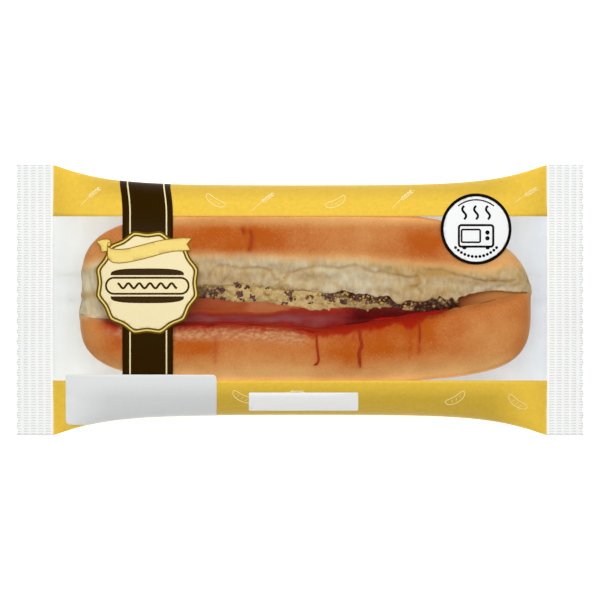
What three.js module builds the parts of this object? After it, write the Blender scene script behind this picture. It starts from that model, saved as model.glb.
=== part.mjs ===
// One hot dog sealed in a flow-wrapped pack of printed film, lying on its back with the window up.
// The pack is a tube of film, filled by the bun in the middle and crimped flat at both ends, and is
// modelled as one solid up to the outside of the film.
// Units are millimetres. +X runs along the pack, +Z points up out of the window, and the origin is
// on the table under the middle of the pack.
import * as THREE from 'three';

// Driving dimensions
const PACK_LENGTH = 220; // over both crimped end seals
const SEAL_LENGTH = 14; // one end seal, along X
const SEAL_WIDTH = 105; // the flat width of the film tube, which is half of its girth
const WAIST_WIDTH = 89; // across the filled middle
const FOLD_HEIGHT = 17.5; // the level of the two side folds and of the end seals

// The plan outline narrows from the seals to the waist along a decaying curve.
const FLARE_LENGTH = 18.6;
const FLARE_POWER = 1.15;

// The section is a superellipse above and below the side folds, and flat where it lies on the table.
const TOP_POWER = 2.0;
const BASE_POWER = 2.4;
const MOUTH_LENGTH = 2.5; // over this run the film opens from the flat seal

// The end seals: welded film with a quilted crimp and a saw-toothed outer edge.
const SEAL_THICKNESS = 0.9;
const CRIMP_RELIEF = 0.18;
const TOOTH_DEPTH = 0.8;
const SEAL_DROOP = 1.6; // the outer edge hangs this much below the folds
const SEAL_WAVE = 0.7; // and waves by this much, up and down
const SEAL_WAVES = 1.5; // waves across the width

// The back seam: a flap of welded film folded flat along the underside. A crease marks each edge.
const FLAP_STEPS = 5; // its width, in steps round the girth
const FLAP_EDGE_CREASE = 0.6; // depth beside the flap's free edge
const FLAP_FOLD_CREASE = 0.3; // depth at the flap's fold

// Mesh steps
const SIDE_STEPS = 52; // from one side fold to the other, so two steps make one tooth
const SEAL_STEPS = 5; // rows of crimp along X
const END_STEPS = 14; // from a seal to where the waist starts
const WAIST_STEPS = 8;
const OUTLINE_STEPS = 120; // samples of one half section, before it is spaced evenly

const BODY_HALF = PACK_LENGTH / 2 - SEAL_LENGTH;
const WAIST_HALF = 52; // the waist runs this far either side of the middle
const GIRTH = 2 * SEAL_WIDTH;
const RING_POINTS = 2 * SIDE_STEPS;

// Half of the pack's width at a station x.
function halfWidth(x) {
  const run = Math.max(0, BODY_HALF - Math.abs(x));
  const flare = Math.exp(-((run / FLARE_LENGTH) ** FLARE_POWER));
  return THREE.MathUtils.lerp(WAIST_WIDTH, SEAL_WIDTH, flare) / 2;
}

// One half of a section, from the +Y fold over the top to the -Y fold, or back under the base.
function halfSection(width, bulge, above) {
  const power = above ? TOP_POWER : BASE_POWER;
  const points = [];
  for (let i = 0; i <= OUTLINE_STEPS; i++) {
    const across = Math.cos((Math.PI * i) / OUTLINE_STEPS);
    const rise = bulge * (1 - Math.abs(across) ** power) ** (1 / power);
    const y = above ? width * across : -width * across;
    const z = above ? FOLD_HEIGHT + rise : Math.max(0, FOLD_HEIGHT - rise);
    points.push(new THREE.Vector2(y, z));
  }
  return new THREE.Path(points);
}

// The bulge that gives a section of this half-width the film's girth, found by halving an interval.
function bulgeFor(width) {
  let low = 0;
  let high = PACK_LENGTH / 4;
  for (let i = 0; i < 40; i++) {
    const middle = (low + high) / 2;
    const girth = halfSection(width, middle, true).getLength() + halfSection(width, middle, false).getLength();
    if (girth < GIRTH) low = middle;
    else high = middle;
  }
  return low;
}

// How deep the crease of the back seam is at step j of the base, counted from the -Y fold.
function seamCrease(j) {
  const fold = SIDE_STEPS / 2;
  if (j === fold) return FLAP_FOLD_CREASE;
  if (j === fold + FLAP_STEPS) return FLAP_EDGE_CREASE;
  return 0;
}

// The ring of points round the filled tube at a station x.
function bodyRing(x) {
  const width = halfWidth(x);
  const opening = 1 - Math.exp(-(BODY_HALF - Math.abs(x)) / MOUTH_LENGTH);
  const bulge = SEAL_THICKNESS / 2 + (bulgeFor(width) - SEAL_THICKNESS / 2) * opening;
  const top = halfSection(width, bulge, true).getSpacedPoints(SIDE_STEPS);
  const base = halfSection(width, bulge, false).getSpacedPoints(SIDE_STEPS);
  const ring = top.slice(0, SIDE_STEPS).map((p) => new THREE.Vector3(x, p.x, p.y));
  base.slice(0, SIDE_STEPS).forEach((p, j) => {
    ring.push(new THREE.Vector3(x, p.x, p.y + seamCrease(j) * opening));
  });
  return ring;
}

// The ring of points round an end seal. Step 0 is where it meets the tube and the last is its edge.
function sealRing(end, step) {
  const along = step / SEAL_STEPS;
  const ring = [];
  for (let i = 0; i < RING_POINTS; i++) {
    const above = i < SIDE_STEPS;
    const j = above ? i : RING_POINTS - i; // the same place across the seal, seen from either face
    const y = SEAL_WIDTH * (0.5 - j / SIDE_STEPS);
    const notch = step === SEAL_STEPS && j % 2 === 1 ? TOOTH_DEPTH : 0;
    const x = end * (BODY_HALF + SEAL_LENGTH * along - notch);
    const wave = SEAL_WAVE * Math.sin((2 * Math.PI * SEAL_WAVES * y) / SEAL_WIDTH);
    const middle = FOLD_HEIGHT + along * (wave - SEAL_DROOP * along);
    const onFold = j % SIDE_STEPS === 0;
    const crimp = (step + j) % 2 === 0 ? CRIMP_RELIEF : 0;
    const half = onFold ? 0 : SEAL_THICKNESS / 2;
    const z = middle + (above ? half : -half) + (onFold || step === 0 ? 0 : crimp);
    ring.push(new THREE.Vector3(x, y, z));
  }
  return ring;
}

// The stations of the tube from one seal to the other, closer together where it opens.
function bodyStations() {
  const run = BODY_HALF - WAIST_HALF;
  const stations = [];
  for (let i = 1; i <= END_STEPS; i++) stations.push(-BODY_HALF + run * (i / END_STEPS) ** 1.6);
  for (let i = 1; i < WAIST_STEPS; i++) stations.push(-WAIST_HALF + (2 * WAIST_HALF * i) / WAIST_STEPS);
  for (let i = END_STEPS; i >= 1; i--) stations.push(BODY_HALF - run * (i / END_STEPS) ** 1.6);
  return stations;
}

// The faces that close a flat ring, strip by strip between its upper and its lower points.
function capFaces(first, facingForward) {
  const faces = [];
  for (let i = 0; i < SIDE_STEPS; i++) {
    const upper = first + i;
    const nextUpper = upper + 1;
    const nextLower = first + RING_POINTS - i - 1;
    const lower = first + ((RING_POINTS - i) % RING_POINTS);
    if (nextLower !== nextUpper) faces.push([upper, nextUpper, nextLower]);
    if (lower !== upper) faces.push([upper, nextLower, lower]);
  }
  return facingForward ? faces : faces.map(([a, b, c]) => [a, c, b]);
}

// The closed surface through a row of rings, with both ends capped.
function loft(rings) {
  const positions = rings.flat().flatMap((p) => [p.x, p.y, p.z]);
  const faces = [];
  for (let k = 0; k + 1 < rings.length; k++) {
    for (let i = 0; i < RING_POINTS; i++) {
      const next = (i + 1) % RING_POINTS;
      const a = k * RING_POINTS + i;
      const b = k * RING_POINTS + next;
      faces.push([a, b + RING_POINTS, a + RING_POINTS], [a, b, b + RING_POINTS]);
    }
  }
  faces.push(...capFaces(0, false), ...capFaces((rings.length - 1) * RING_POINTS, true));
  const geometry = new THREE.BufferGeometry();
  geometry.setAttribute('position', new THREE.Float32BufferAttribute(positions, 3));
  geometry.setIndex(faces.flat());
  geometry.computeVertexNormals();
  return geometry;
}

// The whole pack, from the -X edge to the +X edge.
function packGeometry() {
  const rings = [];
  for (let step = SEAL_STEPS; step >= 0; step--) rings.push(sealRing(-1, step));
  rings.push(...bodyStations().map(bodyRing));
  for (let step = 0; step <= SEAL_STEPS; step++) rings.push(sealRing(1, step));
  return loft(rings);
}

const printedFilm = new THREE.MeshStandardMaterial({
  color: 0xf8d150,
  roughness: 0.3,
  metalness: 0,
});

const pack = new THREE.Mesh(packGeometry(), printedFilm);
pack.name = 'flow_pack';

const hotDogPack = new THREE.Group();
hotDogPack.add(pack);

export default hotDogPack;
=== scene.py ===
"""The looks of a hot dog sealed in a flow-wrapped film pack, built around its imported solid.

Lengths are metres. +X runs along the pack and +Z points up out of the window.
"""

import math

import bmesh
import bpy
import numpy as np
from bpy.props import FloatProperty, FloatVectorProperty, IntProperty, PointerProperty
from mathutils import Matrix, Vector, noise
from mathutils.bvhtree import BVHTree


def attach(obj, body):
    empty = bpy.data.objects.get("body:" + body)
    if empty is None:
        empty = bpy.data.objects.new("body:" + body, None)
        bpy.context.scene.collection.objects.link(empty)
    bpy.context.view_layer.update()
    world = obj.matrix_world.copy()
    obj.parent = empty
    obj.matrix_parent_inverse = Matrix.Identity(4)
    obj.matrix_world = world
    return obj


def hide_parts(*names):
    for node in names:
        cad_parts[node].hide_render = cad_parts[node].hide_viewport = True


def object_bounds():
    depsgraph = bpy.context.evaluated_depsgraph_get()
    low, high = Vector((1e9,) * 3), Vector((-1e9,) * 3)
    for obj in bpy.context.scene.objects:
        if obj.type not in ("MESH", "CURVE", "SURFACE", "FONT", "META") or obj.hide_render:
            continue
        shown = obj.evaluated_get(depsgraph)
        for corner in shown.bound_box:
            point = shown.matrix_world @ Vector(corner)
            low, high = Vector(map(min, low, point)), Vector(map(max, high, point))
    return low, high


bl_info = {
    "name": "Flow-Wrapped Hot Dog",
    "version": (1, 0, 0),
    "blender": (4, 5, 0),
    "location": "View3D > Sidebar > Hot Dog",
    "description": "Builds a hot dog sealed in a printed film pack with a clear window",
    "category": "Add Mesh",
}

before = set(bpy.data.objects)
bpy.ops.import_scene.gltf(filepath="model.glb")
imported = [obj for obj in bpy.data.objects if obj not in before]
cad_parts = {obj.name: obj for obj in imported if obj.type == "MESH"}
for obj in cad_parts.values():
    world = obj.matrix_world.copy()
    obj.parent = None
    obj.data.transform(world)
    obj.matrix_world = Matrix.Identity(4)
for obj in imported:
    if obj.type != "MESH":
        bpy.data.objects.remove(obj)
CAD_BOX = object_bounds()
LOW, HIGH = CAD_BOX
PACK_NODE = "flow_pack"
BODY = "root"
MM = 0.001
FULL_TURN = 2 * math.pi
FILM_IOR, FOOD_IOR, MUSTARD_IOR, SAUCE_IOR, TABLE_IOR = 1.49, 1.45, 1.42, 1.4, 1.5
NOISE_RANGE = (0.3, 0.7)  # most values of soft noise lie between these
FLAP_RIDGE_PITCH = 1.0 * MM  # of the fine ridges pressed across the seam's flap


# ---------------------------------------------------------------- settings

def linear(hex_code):
    """An sRGB hex colour as the linear red, green, blue and alpha that shaders take."""
    parts = [int(hex_code[i:i + 2], 16) / 255 for i in (1, 3, 5)]
    return tuple(c / 12.92 if c <= 0.04045 else ((c + 0.055) / 1.055) ** 2.4 for c in parts) + (1.0,)


def length(name, default, description):
    """A property that holds a length."""
    return FloatProperty(
        name=name, description=description, default=default, subtype="DISTANCE", unit="LENGTH", precision=5
    )


def ratio(name, default, description):
    """A property that holds a plain number."""
    return FloatProperty(name=name, description=description, default=default, precision=3)


def tint(name, hex_code, description):
    """A property that holds a colour."""
    return FloatVectorProperty(
        name=name, description=description, default=linear(hex_code), subtype="COLOR", size=4, min=0, max=1
    )


class PackSettings(bpy.types.PropertyGroup):
    """Sizes and colours of the film pack."""

    seal_length: length("Seal length", 14 * MM, "Length of one crimped end seal along the pack")
    seal_thickness: length("Seal thickness", 0.7 * MM, "Thickness of the welded film between the crimps")
    waist_width: length("Waist width", 89 * MM, "Width across the filled middle")
    fold_height: length("Fold height", 17.5 * MM, "Height of the two side folds above the table")
    flare_length: length("Flare length", 18.6 * MM, "Run over which the outline narrows from the seals")
    flare_power: ratio("Flare power", 1.15, "How sharply the outline turns from the flare to the waist")
    mouth_length: length("Mouth length", 2.5 * MM, "Run over which the film opens from the flat seal")
    base_power: ratio("Base power", 2.4, "Squareness of the section below the folds")
    film_thickness: length("Film thickness", 0.1 * MM, "Thickness of the film wall as modelled")
    print_thickness: length("Print thickness", 0.04 * MM, "Thickness of one layer of print")
    crease_depth: length("Crease depth", 0.35 * MM, "Depth of the gathers beside the end seals")
    window_near: length("Window near edge", -31.2 * MM, "Y of the window's edge nearer the label")
    window_far: length("Window far edge", 32.45 * MM, "Y of the window's other edge")
    back_edge: length("Back panel edge", 34 * MM, "Half width of the white panel on the back")
    tooth_pitch: length("Tooth pitch", 105 / 26 * MM, "Pitch of the saw teeth on the seals' edges")
    tooth_depth: length("Tooth depth", 0.8 * MM, "Depth of the saw teeth")
    seal_droop: length("Seal droop", 1.6 * MM, "How far a seal's edge hangs below the folds")
    seal_wave: length("Seal wave", 0.7 * MM, "How far a seal's edge waves up and down")
    crimp_columns: IntProperty(name="Crimp columns", description="Columns of crimps on a seal", default=5)
    crimp_rows: IntProperty(name="Crimp rows", description="Rows of crimps across a seal", default=102)
    seam_width: length("Seam width", 9.7 * MM, "Width of the welded flap along the back")
    yellow: tint("Yellow print", "#efc646", "The sunny yellow field")
    white: tint("White print", "#f7f8f7", "The white of the back, the seals and the panels")
    ribbon: tint("Ribbon print", "#2e1c00", "The dark brown ribbon")
    cream: tint("Cream print", "#f3e4b4", "The field of the badge")
    gold: tint("Gold print", "#f3d779", "The banner and the badge's rim")
    olive: tint("Olive print", "#664c02", "The outlines of the badge")
    ink: tint("Dark ink", "#0c0906", "The lines of the round stamp")


class HotDogSettings(bpy.types.PropertyGroup):
    """Sizes and colours of the filled roll."""

    bun_length: length("Bun length", 174.6 * MM, "Length of the roll")
    bun_width: length("Bun width", 69.0 * MM, "Width of the roll")
    bun_top: length("Bun top", 33.2 * MM, "Height of the crests above the table")
    bun_base: length("Bun base", 1.0 * MM, "Height of the roll's underside above the table")
    bun_centre: FloatVectorProperty(
        name="Bun centre", description="Middle of the roll in plan", default=(2.0 * MM, 0.4 * MM), size=2,
        subtype="TRANSLATION", precision=5,
    )
    sausage_radius: length("Sausage radius", 10.3 * MM, "Radius of the sausage")
    seed_size: length("Seed size", 0.56 * MM, "Radius of a mustard seed")
    crust: tint("Deep crust", "#bb5807", "Well baked, glazed crust")
    crust_gold: tint("Golden crust", "#d38f51", "Evenly baked crust")
    # The pale crust also serves as painted light where the roll's sides lie in shade.
    crust_pale: tint("Pale crust", "#edb876", "Less baked crust at the sides and the ends")
    crumb: tint("Crumb", "#dcd0af", "Torn inside of the roll")
    crumb_tan: tint("Tanned crumb", "#be9757", "Crumb that has dried and browned")
    wall: tint("Slit wall", "#b87a40", "Cut walls of the slit")
    # Painted shade: the slit walls darken towards this colour where the slit is deep.
    wall_shade: tint("Deep slit wall", "#8a3e14", "Cut walls where the slit is deep")
    blush: tint("Wrinkled crust", "#d9a076", "Wrinkled crust beside the slit")
    tear: tint("Tear line", "#a8824c", "Thin skin along the tears")
    sausage: tint("Sausage", "#a54a18", "Smoked sausage skin")
    mustard: tint("Mustard", "#cdb078", "Mustard paste")
    # Painted shade: besides husks, this dark colour stands for the shade under the crumb's lip.
    murk: tint("Soaked mustard", "#3e1a07", "Paste under the lip, thick with husks")
    seed_dark: tint("Dark seeds", "#583630", "Husks of brown mustard seeds")
    seed_gold: tint("Gold seeds", "#b98f45", "Yellow mustard seeds")
    ketchup: tint("Tomato sauce", "#bb140a", "Tomato sauce where it is thin")
    ketchup_deep: tint("Deep tomato sauce", "#5a0502", "Tomato sauce where it is thick")
    # Painted sheen: a dull purple-red that stands in for a soft reflection along the sauce.
    ketchup_painted_sheen: tint("Skinned tomato sauce", "#9b5250", "Tomato sauce under a dull skin")
    glaze: tint("Sauce glaze", "#a8481c", "The thinnest sauce, over sausage or bread")


class StageSettings(bpy.types.PropertyGroup):
    """Camera, lights and floor."""

    view_width: length("View width", 232.4 * MM, "Width that the camera takes in")
    key_power: FloatProperty(
        name="Key power", description="Power of the key light", default=18.9, unit="POWER"
    )
    sky: ratio("Sky strength", 0.24, "Strength of the even light from all sides")
    floor: tint("Floor", "#ffffff", "The white table")
    floor_glow: ratio("Floor glow", 0.68, "How bright the lit table shines by itself")


# ---------------------------------------------------------------- shaders

def add(tree, kind, inputs=None, **settings):
    """Adds a node with its settings, then sets or links its inputs, which are named or numbered."""
    node = tree.nodes.new(kind)
    for name, value in settings.items():
        setattr(node, name, value)
    for key, value in (inputs or {}).items():
        if isinstance(value, bpy.types.NodeSocket):
            tree.links.new(value, node.inputs[key])
        else:
            node.inputs[key].default_value = value
    return node


def new_material(name):
    """An empty node material, its tree, and the place on the object that its patterns follow."""
    material = bpy.data.materials.new(name)
    material.use_nodes = True
    tree = material.node_tree
    tree.nodes.clear()
    return material, tree, add(tree, "ShaderNodeTexCoord").outputs["Object"]


def blend(tree, share, first, second):
    """A colour between two colours, by a share from 0 to 1."""
    return add(tree, "ShaderNodeMix", {0: share, 6: first, 7: second}, data_type="RGBA").outputs[2]


def span(tree, value, start, end, low=0.0, high=1.0):
    """A value stretched so that start to end becomes low to high, and kept between them."""
    return add(tree, "ShaderNodeMapRange", {
        "Value": value, "From Min": start, "From Max": end, "To Min": low, "To Max": high,
    }).outputs[0]


def reckon(tree, operation, *values, clamp=False):
    """The result of one step of arithmetic."""
    inputs = dict(enumerate(values))
    return add(tree, "ShaderNodeMath", inputs, operation=operation, use_clamp=clamp).outputs[0]


def attribute(tree, name):
    """One of the mesh's attributes."""
    return add(tree, "ShaderNodeAttribute", attribute_name=name).outputs["Fac"]


def cloud(tree, place, size, detail=2.0):
    """Soft noise with patches of this size."""
    inputs = {"Vector": place, "Scale": 1 / size, "Detail": detail}
    return add(tree, "ShaderNodeTexNoise", inputs).outputs["Fac"]


def swing(tree, soft_noise, amount):
    """Soft noise as a change of up to this amount, up or down."""
    return span(tree, soft_noise, *NOISE_RANGE, -amount, amount)


def drawn_out(tree, place, *scale):
    """The place scaled along X, Y and Z. Patterns on it are drawn out where the scale is small."""
    return add(tree, "ShaderNodeMapping", {"Vector": place, "Scale": scale}).outputs[0]


def bumps(tree, height, strength, distance):
    """A normal that shows this height as bumps."""
    inputs = {"Height": height, "Strength": strength, "Distance": distance}
    return add(tree, "ShaderNodeBump", inputs).outputs[0]


def coat(tree, colour, roughness, ior, gloss, normal=None, glow=None):
    """A surface with this colour and gloss. Its glow is a colour and a strength."""
    inputs = {"Base Color": colour, "Roughness": roughness, "IOR": ior, "Specular IOR Level": gloss}
    if normal is not None:
        inputs["Normal"] = normal
    if glow is not None:
        inputs["Emission Color"], inputs["Emission Strength"] = glow
    return add(tree, "ShaderNodeBsdfPrincipled", inputs).outputs[0]


def between_surfaces(tree, share, first, second):
    """A surface between two surfaces, by a share from 0 to 1."""
    return add(tree, "ShaderNodeMixShader", {0: share, 1: first, 2: second}).outputs[0]


def finished(material, surface):
    """The material, now with its surface."""
    add(material.node_tree, "ShaderNodeOutputMaterial", {"Surface": surface})
    return material


def painted_fold_shade(tree, place):
    """How much painted shade darkens the print along the side folds of the filled part of the tube, from 0
    to 1.
    """
    axes = add(tree, "ShaderNodeSeparateXYZ", {"Vector": place}).outputs
    near = span(tree, axes["Y"], -32 * MM, -38 * MM)
    far = span(tree, axes["Y"], 38 * MM, 43 * MM, 0, 0.75)
    filled = span(tree, reckon(tree, "ABSOLUTE", axes["X"]), 88 * MM, 74 * MM)
    return reckon(tree, "MULTIPLY", reckon(tree, "MAXIMUM", near, far), filled)


def gravure_print(name, colour, mottling, roughness=0.42, gloss=0.1, fold_shade=0.0):
    """Gravure ink on polypropylene film: an even field with a faint mottle under a soft film gloss. Its last
    argument sets how much painted shade darkens it along the side folds.
    """
    material, tree, place = new_material(name)
    shade = span(tree, cloud(tree, place, 1.6 * MM, 3.0), *NOISE_RANGE, 1 - mottling, 1 + mottling)
    # Painted shade: the print darkens along the side folds, where the film turns away from the light.
    fold_shaded = span(tree, painted_fold_shade(tree, place), 0, 1, 1, 1 - fold_shade)
    even = reckon(tree, "MULTIPLY", shade, fold_shaded)
    tone = add(tree, "ShaderNodeVectorMath", {0: colour[:3], "Scale": even}, operation="SCALE").outputs[0]
    ripple = bumps(tree, cloud(tree, place, 7 * MM), 0.25, 0.25 * MM)
    return finished(material, coat(tree, tone, roughness, FILM_IOR, gloss, ripple))


def backing_ink(colour):
    """White backing ink inside the printed sides: matt, with a painted glow, a faint emission that stands in
    for the light coming through the print.
    """
    material, tree, place = new_material("white_backing_ink")
    tone = blend(tree, cloud(tree, place, 5 * MM), colour, linear("#f4f5f6"))
    # Painted light: a faint emission makes the lining glow.
    return finished(material, coat(tree, tone, 0.5, FILM_IOR, 0.1, glow=(linear("#fffcf4"), 0.3)))


def clear_polypropylene():
    """Clear cast polypropylene film: almost invisible head on, with a faint milkiness and gloss at its
    sides.
    """
    material, tree, place = new_material("clear_polypropylene")
    ripple = bumps(tree, cloud(tree, place, 14 * MM), 0.3, 0.4 * MM)
    clear = add(tree, "ShaderNodeBsdfTransparent", {"Color": (0.985, 0.985, 0.98, 1)}).outputs[0]
    haze = add(tree, "ShaderNodeBsdfDiffuse", {"Color": linear("#f4f4f1")}).outputs[0]
    gloss = add(tree, "ShaderNodeBsdfGlossy", {"Roughness": 0.16, "Normal": ripple}).outputs[0]
    facing = add(tree, "ShaderNodeLayerWeight", {"Blend": 0.5}).outputs["Facing"]
    steep = span(tree, reckon(tree, "POWER", facing, 4.0), 0, 1, 0.0006, 0.4)
    hazy = between_surfaces(tree, 0.001, clear, haze)
    return finished(material, between_surfaces(tree, steep, hazy, gloss))


def milky_polypropylene(colour):
    """White pigmented film: light comes through from behind, and its flap is pressed with fine ridges."""
    material, tree, place = new_material("milky_polypropylene")
    along = add(tree, "ShaderNodeSeparateXYZ", {"Vector": place}).outputs["X"]
    # Painted shade: the white film is darker towards +X.
    tone = blend(tree, span(tree, along, -60 * MM, 60 * MM), colour, linear("#e5e9ee"))
    pale = span(tree, cloud(tree, place, 6 * MM), *NOISE_RANGE, 0, 0.3)
    tone = blend(tree, pale, tone, linear("#f3f7fb"))
    ridge = reckon(tree, "SINE", reckon(tree, "MULTIPLY", along, FULL_TURN / FLAP_RIDGE_PITCH))
    height = reckon(tree, "MULTIPLY", ridge, attribute(tree, "pressed"))
    skin = coat(tree, tone, 0.45, FILM_IOR, 0.1, bumps(tree, height, 0.6, 0.05 * MM))
    glow = add(tree, "ShaderNodeBsdfTranslucent", {"Color": tone}).outputs[0]
    return finished(material, between_surfaces(tree, 0.78, skin, glow))


def baked_bread(look):
    """Milk bread: a thin glazed crust, browned unevenly, over pale crumb where it is cut and torn. Painted
    light pales the crust where its sides lie in shade, and painted shade darkens the slit's deep walls.
    """
    material, tree, place = new_material("baked_bread")
    crumb, bake, toast, tear, wall, crease, strip, stain = (
        attribute(tree, name)
        for name in ("crumb", "bake", "toast", "tear", "wall", "crease", "strip", "stain")
    )
    freckles = cloud(tree, place, 0.8 * MM, 3.0)
    # The crust's baking mask also holds painted light that pales its shaded sides.
    uneven = reckon(tree, "ADD", bake, swing(tree, cloud(tree, place, 9 * MM, 3.0), 0.09))
    depth = reckon(tree, "ADD", uneven, swing(tree, freckles, 0.07), clamp=True)
    crust = blend(tree, span(tree, depth, 0, 0.5), look.crust_pale, look.crust_gold)
    crust = blend(tree, span(tree, depth, 0.5, 1), crust, look.crust)
    cells = add(tree, "ShaderNodeTexVoronoi", {"Vector": place, "Scale": 1 / (1.5 * MM)}).outputs
    chosen = add(tree, "ShaderNodeSeparateColor", {"Color": cells["Color"]}).outputs[0]
    dots = span(tree, cells["Distance"], 0.08, 0.2, 0.2, 0)
    spots = reckon(tree, "MULTIPLY", dots, span(tree, chosen, 0.5, 0.55))
    crust = blend(tree, spots, crust, linear("#f3cd9c"))
    crinkle = cloud(tree, drawn_out(tree, place, 0.6, 1, 1), MM, 3.0)
    wrinkled = blend(tree, span(tree, crinkle, 0.66, 0.4), look.blush, linear("#b97548"))
    crust = blend(tree, crease, blend(tree, strip, crust, wrinkled), linear("#a23606"))
    fibre = cloud(tree, drawn_out(tree, place, 1, 0.35, 1), 1.5 * MM, 4.0)
    blotches = span(tree, cloud(tree, place, 3.2 * MM, 3.0), 0.35, 0.65, -0.17, 0.17)
    tan = reckon(tree, "ADD", reckon(tree, "ADD", toast, swing(tree, fibre, 0.2)), blotches, clamp=True)
    inside = blend(tree, tear, blend(tree, tan, look.crumb, look.crumb_tan), look.tear)
    bread = blend(tree, crumb, crust, inside)
    # Painted shade: the slit walls darken where the slit is deep.
    bread = blend(tree, wall, bread, blend(tree, toast, look.wall, look.wall_shade))
    bread = blend(tree, stain, bread, linear("#a60f04"))
    folds = reckon(tree, "MULTIPLY", crinkle, strip)
    height = reckon(tree, "ADD", folds, reckon(tree, "MULTIPLY", freckles, 0.12))
    roughness = span(tree, crumb, 0, 1, 0.5, 0.9)
    normal = bumps(tree, height, 0.5, 0.5 * MM)
    return finished(material, coat(tree, bread, roughness, FOOD_IOR, 0.05, normal))


def smoked_casing(look):
    """Smoked sausage casing: brown-orange skin with fine lengthwise wrinkles and a greasy sheen."""
    material, tree, place = new_material("smoked_casing")
    wrinkles = cloud(tree, drawn_out(tree, place, 0.18, 1, 1), 1.1 * MM, 4.0)
    smoke = span(tree, cloud(tree, place, 9 * MM), 0.4, 0.6)
    tone = blend(tree, smoke, look.sausage, linear("#b36638"))
    tone = blend(tree, attribute(tree, "glazed"), tone, linear("#9e4014"))
    return finished(material, coat(tree, tone, 0.38, FOOD_IOR, 0.08, bumps(tree, wrinkles, 0.5, 0.3 * MM)))


def grain_mustard(look):
    """Mustard paste: dull beige-yellow, brown and murky where husks lie thick in it, and darker still as
    painted shade under the crumb's lip.
    """
    material, tree, place = new_material("grain_mustard")
    clouds = cloud(tree, place, 2.6 * MM, 4.0)
    murk = span(tree, clouds, 0.35, 0.7, -0.15, 0.35)
    depth = reckon(tree, "ADD", attribute(tree, "murk"), murk, clamp=True)
    bits = span(tree, cloud(tree, place, 0.9 * MM), 0.58, 0.7, 0, 0.6)
    tone = blend(tree, depth, blend(tree, bits, look.mustard, linear("#ead27c")), look.murk)
    return finished(material, coat(tree, tone, 0.42, MUSTARD_IOR, 0.06, bumps(tree, clouds, 0.4, 0.4 * MM)))


def seed_husk(name, colour, deep):
    """Wet mustard seed husk: small, shiny and darker on some seeds than on others."""
    material, tree, place = new_material(name)
    tone = blend(tree, span(tree, cloud(tree, place, 2.2 * MM), 0.4, 0.6), colour, deep)
    return finished(material, coat(tree, tone, 0.35, FOOD_IOR, 0.07))


def tomato_sauce(look):
    """Tomato sauce: glossy, bright red where it is thin and near black-red where it lies deep, which is
    partly painted shade, with a painted sheen along its middle.
    """
    material, tree, place = new_material("tomato_sauce")
    pulp = cloud(tree, place, 2.5 * MM, 4.0)
    depth = reckon(tree, "ADD", attribute(tree, "deep"), swing(tree, pulp, 0.15), clamp=True)
    tone = blend(tree, depth, look.ketchup, look.ketchup_deep)
    # Painted sheen: a dull purple-red band in place of a reflection.
    tone = blend(tree, attribute(tree, "haze"), tone, look.ketchup_painted_sheen)
    tone = blend(tree, attribute(tree, "thin"), tone, look.glaze)
    return finished(material, coat(tree, tone, 0.3, SAUCE_IOR, 0.04, bumps(tree, pulp, 0.4, 0.4 * MM)))


def lit_table(colour, glow):
    """White acrylic table lit from below: matt, even, with the faintest cloud."""
    material, tree, place = new_material("lit_table")
    tone = blend(tree, cloud(tree, place, 1 / 3), colour, linear("#fcfcfc"))
    return finished(material, coat(tree, tone, 0.8, TABLE_IOR, 0.0, glow=((1, 1, 1, 1), glow)))


# ---------------------------------------------------------------- meshes

def sheet_faces(rows, columns, wrap=False):
    """The quads of a grid of points, row by row. A wrapped grid joins its last column to its first."""
    last = columns if wrap else columns - 1
    faces = []
    for r in range(rows - 1):
        for c in range(last):
            a, b = r * columns + c, r * columns + (c + 1) % columns
            faces.append((a, b, b + columns, a + columns))
    return faces


def shell(sheet, outer, inner):
    """Points and faces of a closed shell: a sheet of faces over outer points, and again over inner ones."""
    outer, inner = outer.reshape(-1, 3), inner.reshape(-1, 3)
    count = len(outer)
    edges = {(a, b): True for f in sheet for a, b in zip(f, f[1:] + f[:1])}
    border = [edge for edge in edges if edge[::-1] not in edges]
    lining = [tuple(i + count for i in reversed(f)) for f in sheet]
    faces = sheet + lining + [(b, a, a + count, b + count) for a, b in border]
    return np.concatenate([outer, inner]), faces


def between(start, end, count):
    """Even steps from start to end, along a second axis."""
    return start + (end - start) * np.linspace(0, 1, count)[None, :]


def stacked(*parts):
    """Coordinates joined into points."""
    return np.stack(np.broadcast_arrays(*parts), axis=-1)


def mesh_object(name, points, faces, attributes=None):
    """An object at the origin whose mesh has these points, faces and attributes of its points."""
    mesh = bpy.data.meshes.new(name)
    mesh.from_pydata([tuple(map(float, p)) for p in points], [], faces)
    for key, values in (attributes or {}).items():
        carried = mesh.attributes.new(key, "FLOAT", "POINT")
        carried.data.foreach_set("value", np.ravel(values).astype(np.float32))
    piece = bpy.data.objects.new(name, mesh)
    bpy.context.scene.collection.objects.link(piece)
    return piece


def new_piece(name, points, faces, materials, slot, attributes=None, face_materials=None):
    """A smooth piece with its faces pointing out, which rides on the pack's body."""
    piece = mesh_object(name, points, faces, attributes)
    mesh = piece.data
    for material in materials:
        mesh.materials.append(material)
    if face_materials is not None:
        mesh.polygons.foreach_set("material_index", np.asarray(face_materials, np.int32))
    work = bmesh.new()
    work.from_mesh(mesh)
    bmesh.ops.recalc_face_normals(work, faces=work.faces)
    work.to_mesh(mesh)
    work.free()
    mesh.polygons.foreach_set("use_smooth", [True] * len(mesh.polygons))
    return claim(piece)


def claim(piece):
    """Sets the body that a finished piece rides on."""
    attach(piece, BODY)
    return piece


def layered(name, upper, lower, materials, slot, attributes=None):
    """A closed piece between two grids of points, with the same attributes on both."""
    points, faces = shell(sheet_faces(*upper.shape[:2]), upper, lower)
    both = {key: [values, values] for key, values in (attributes or {}).items()}
    return new_piece(name, points, faces, materials, slot, both)


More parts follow.
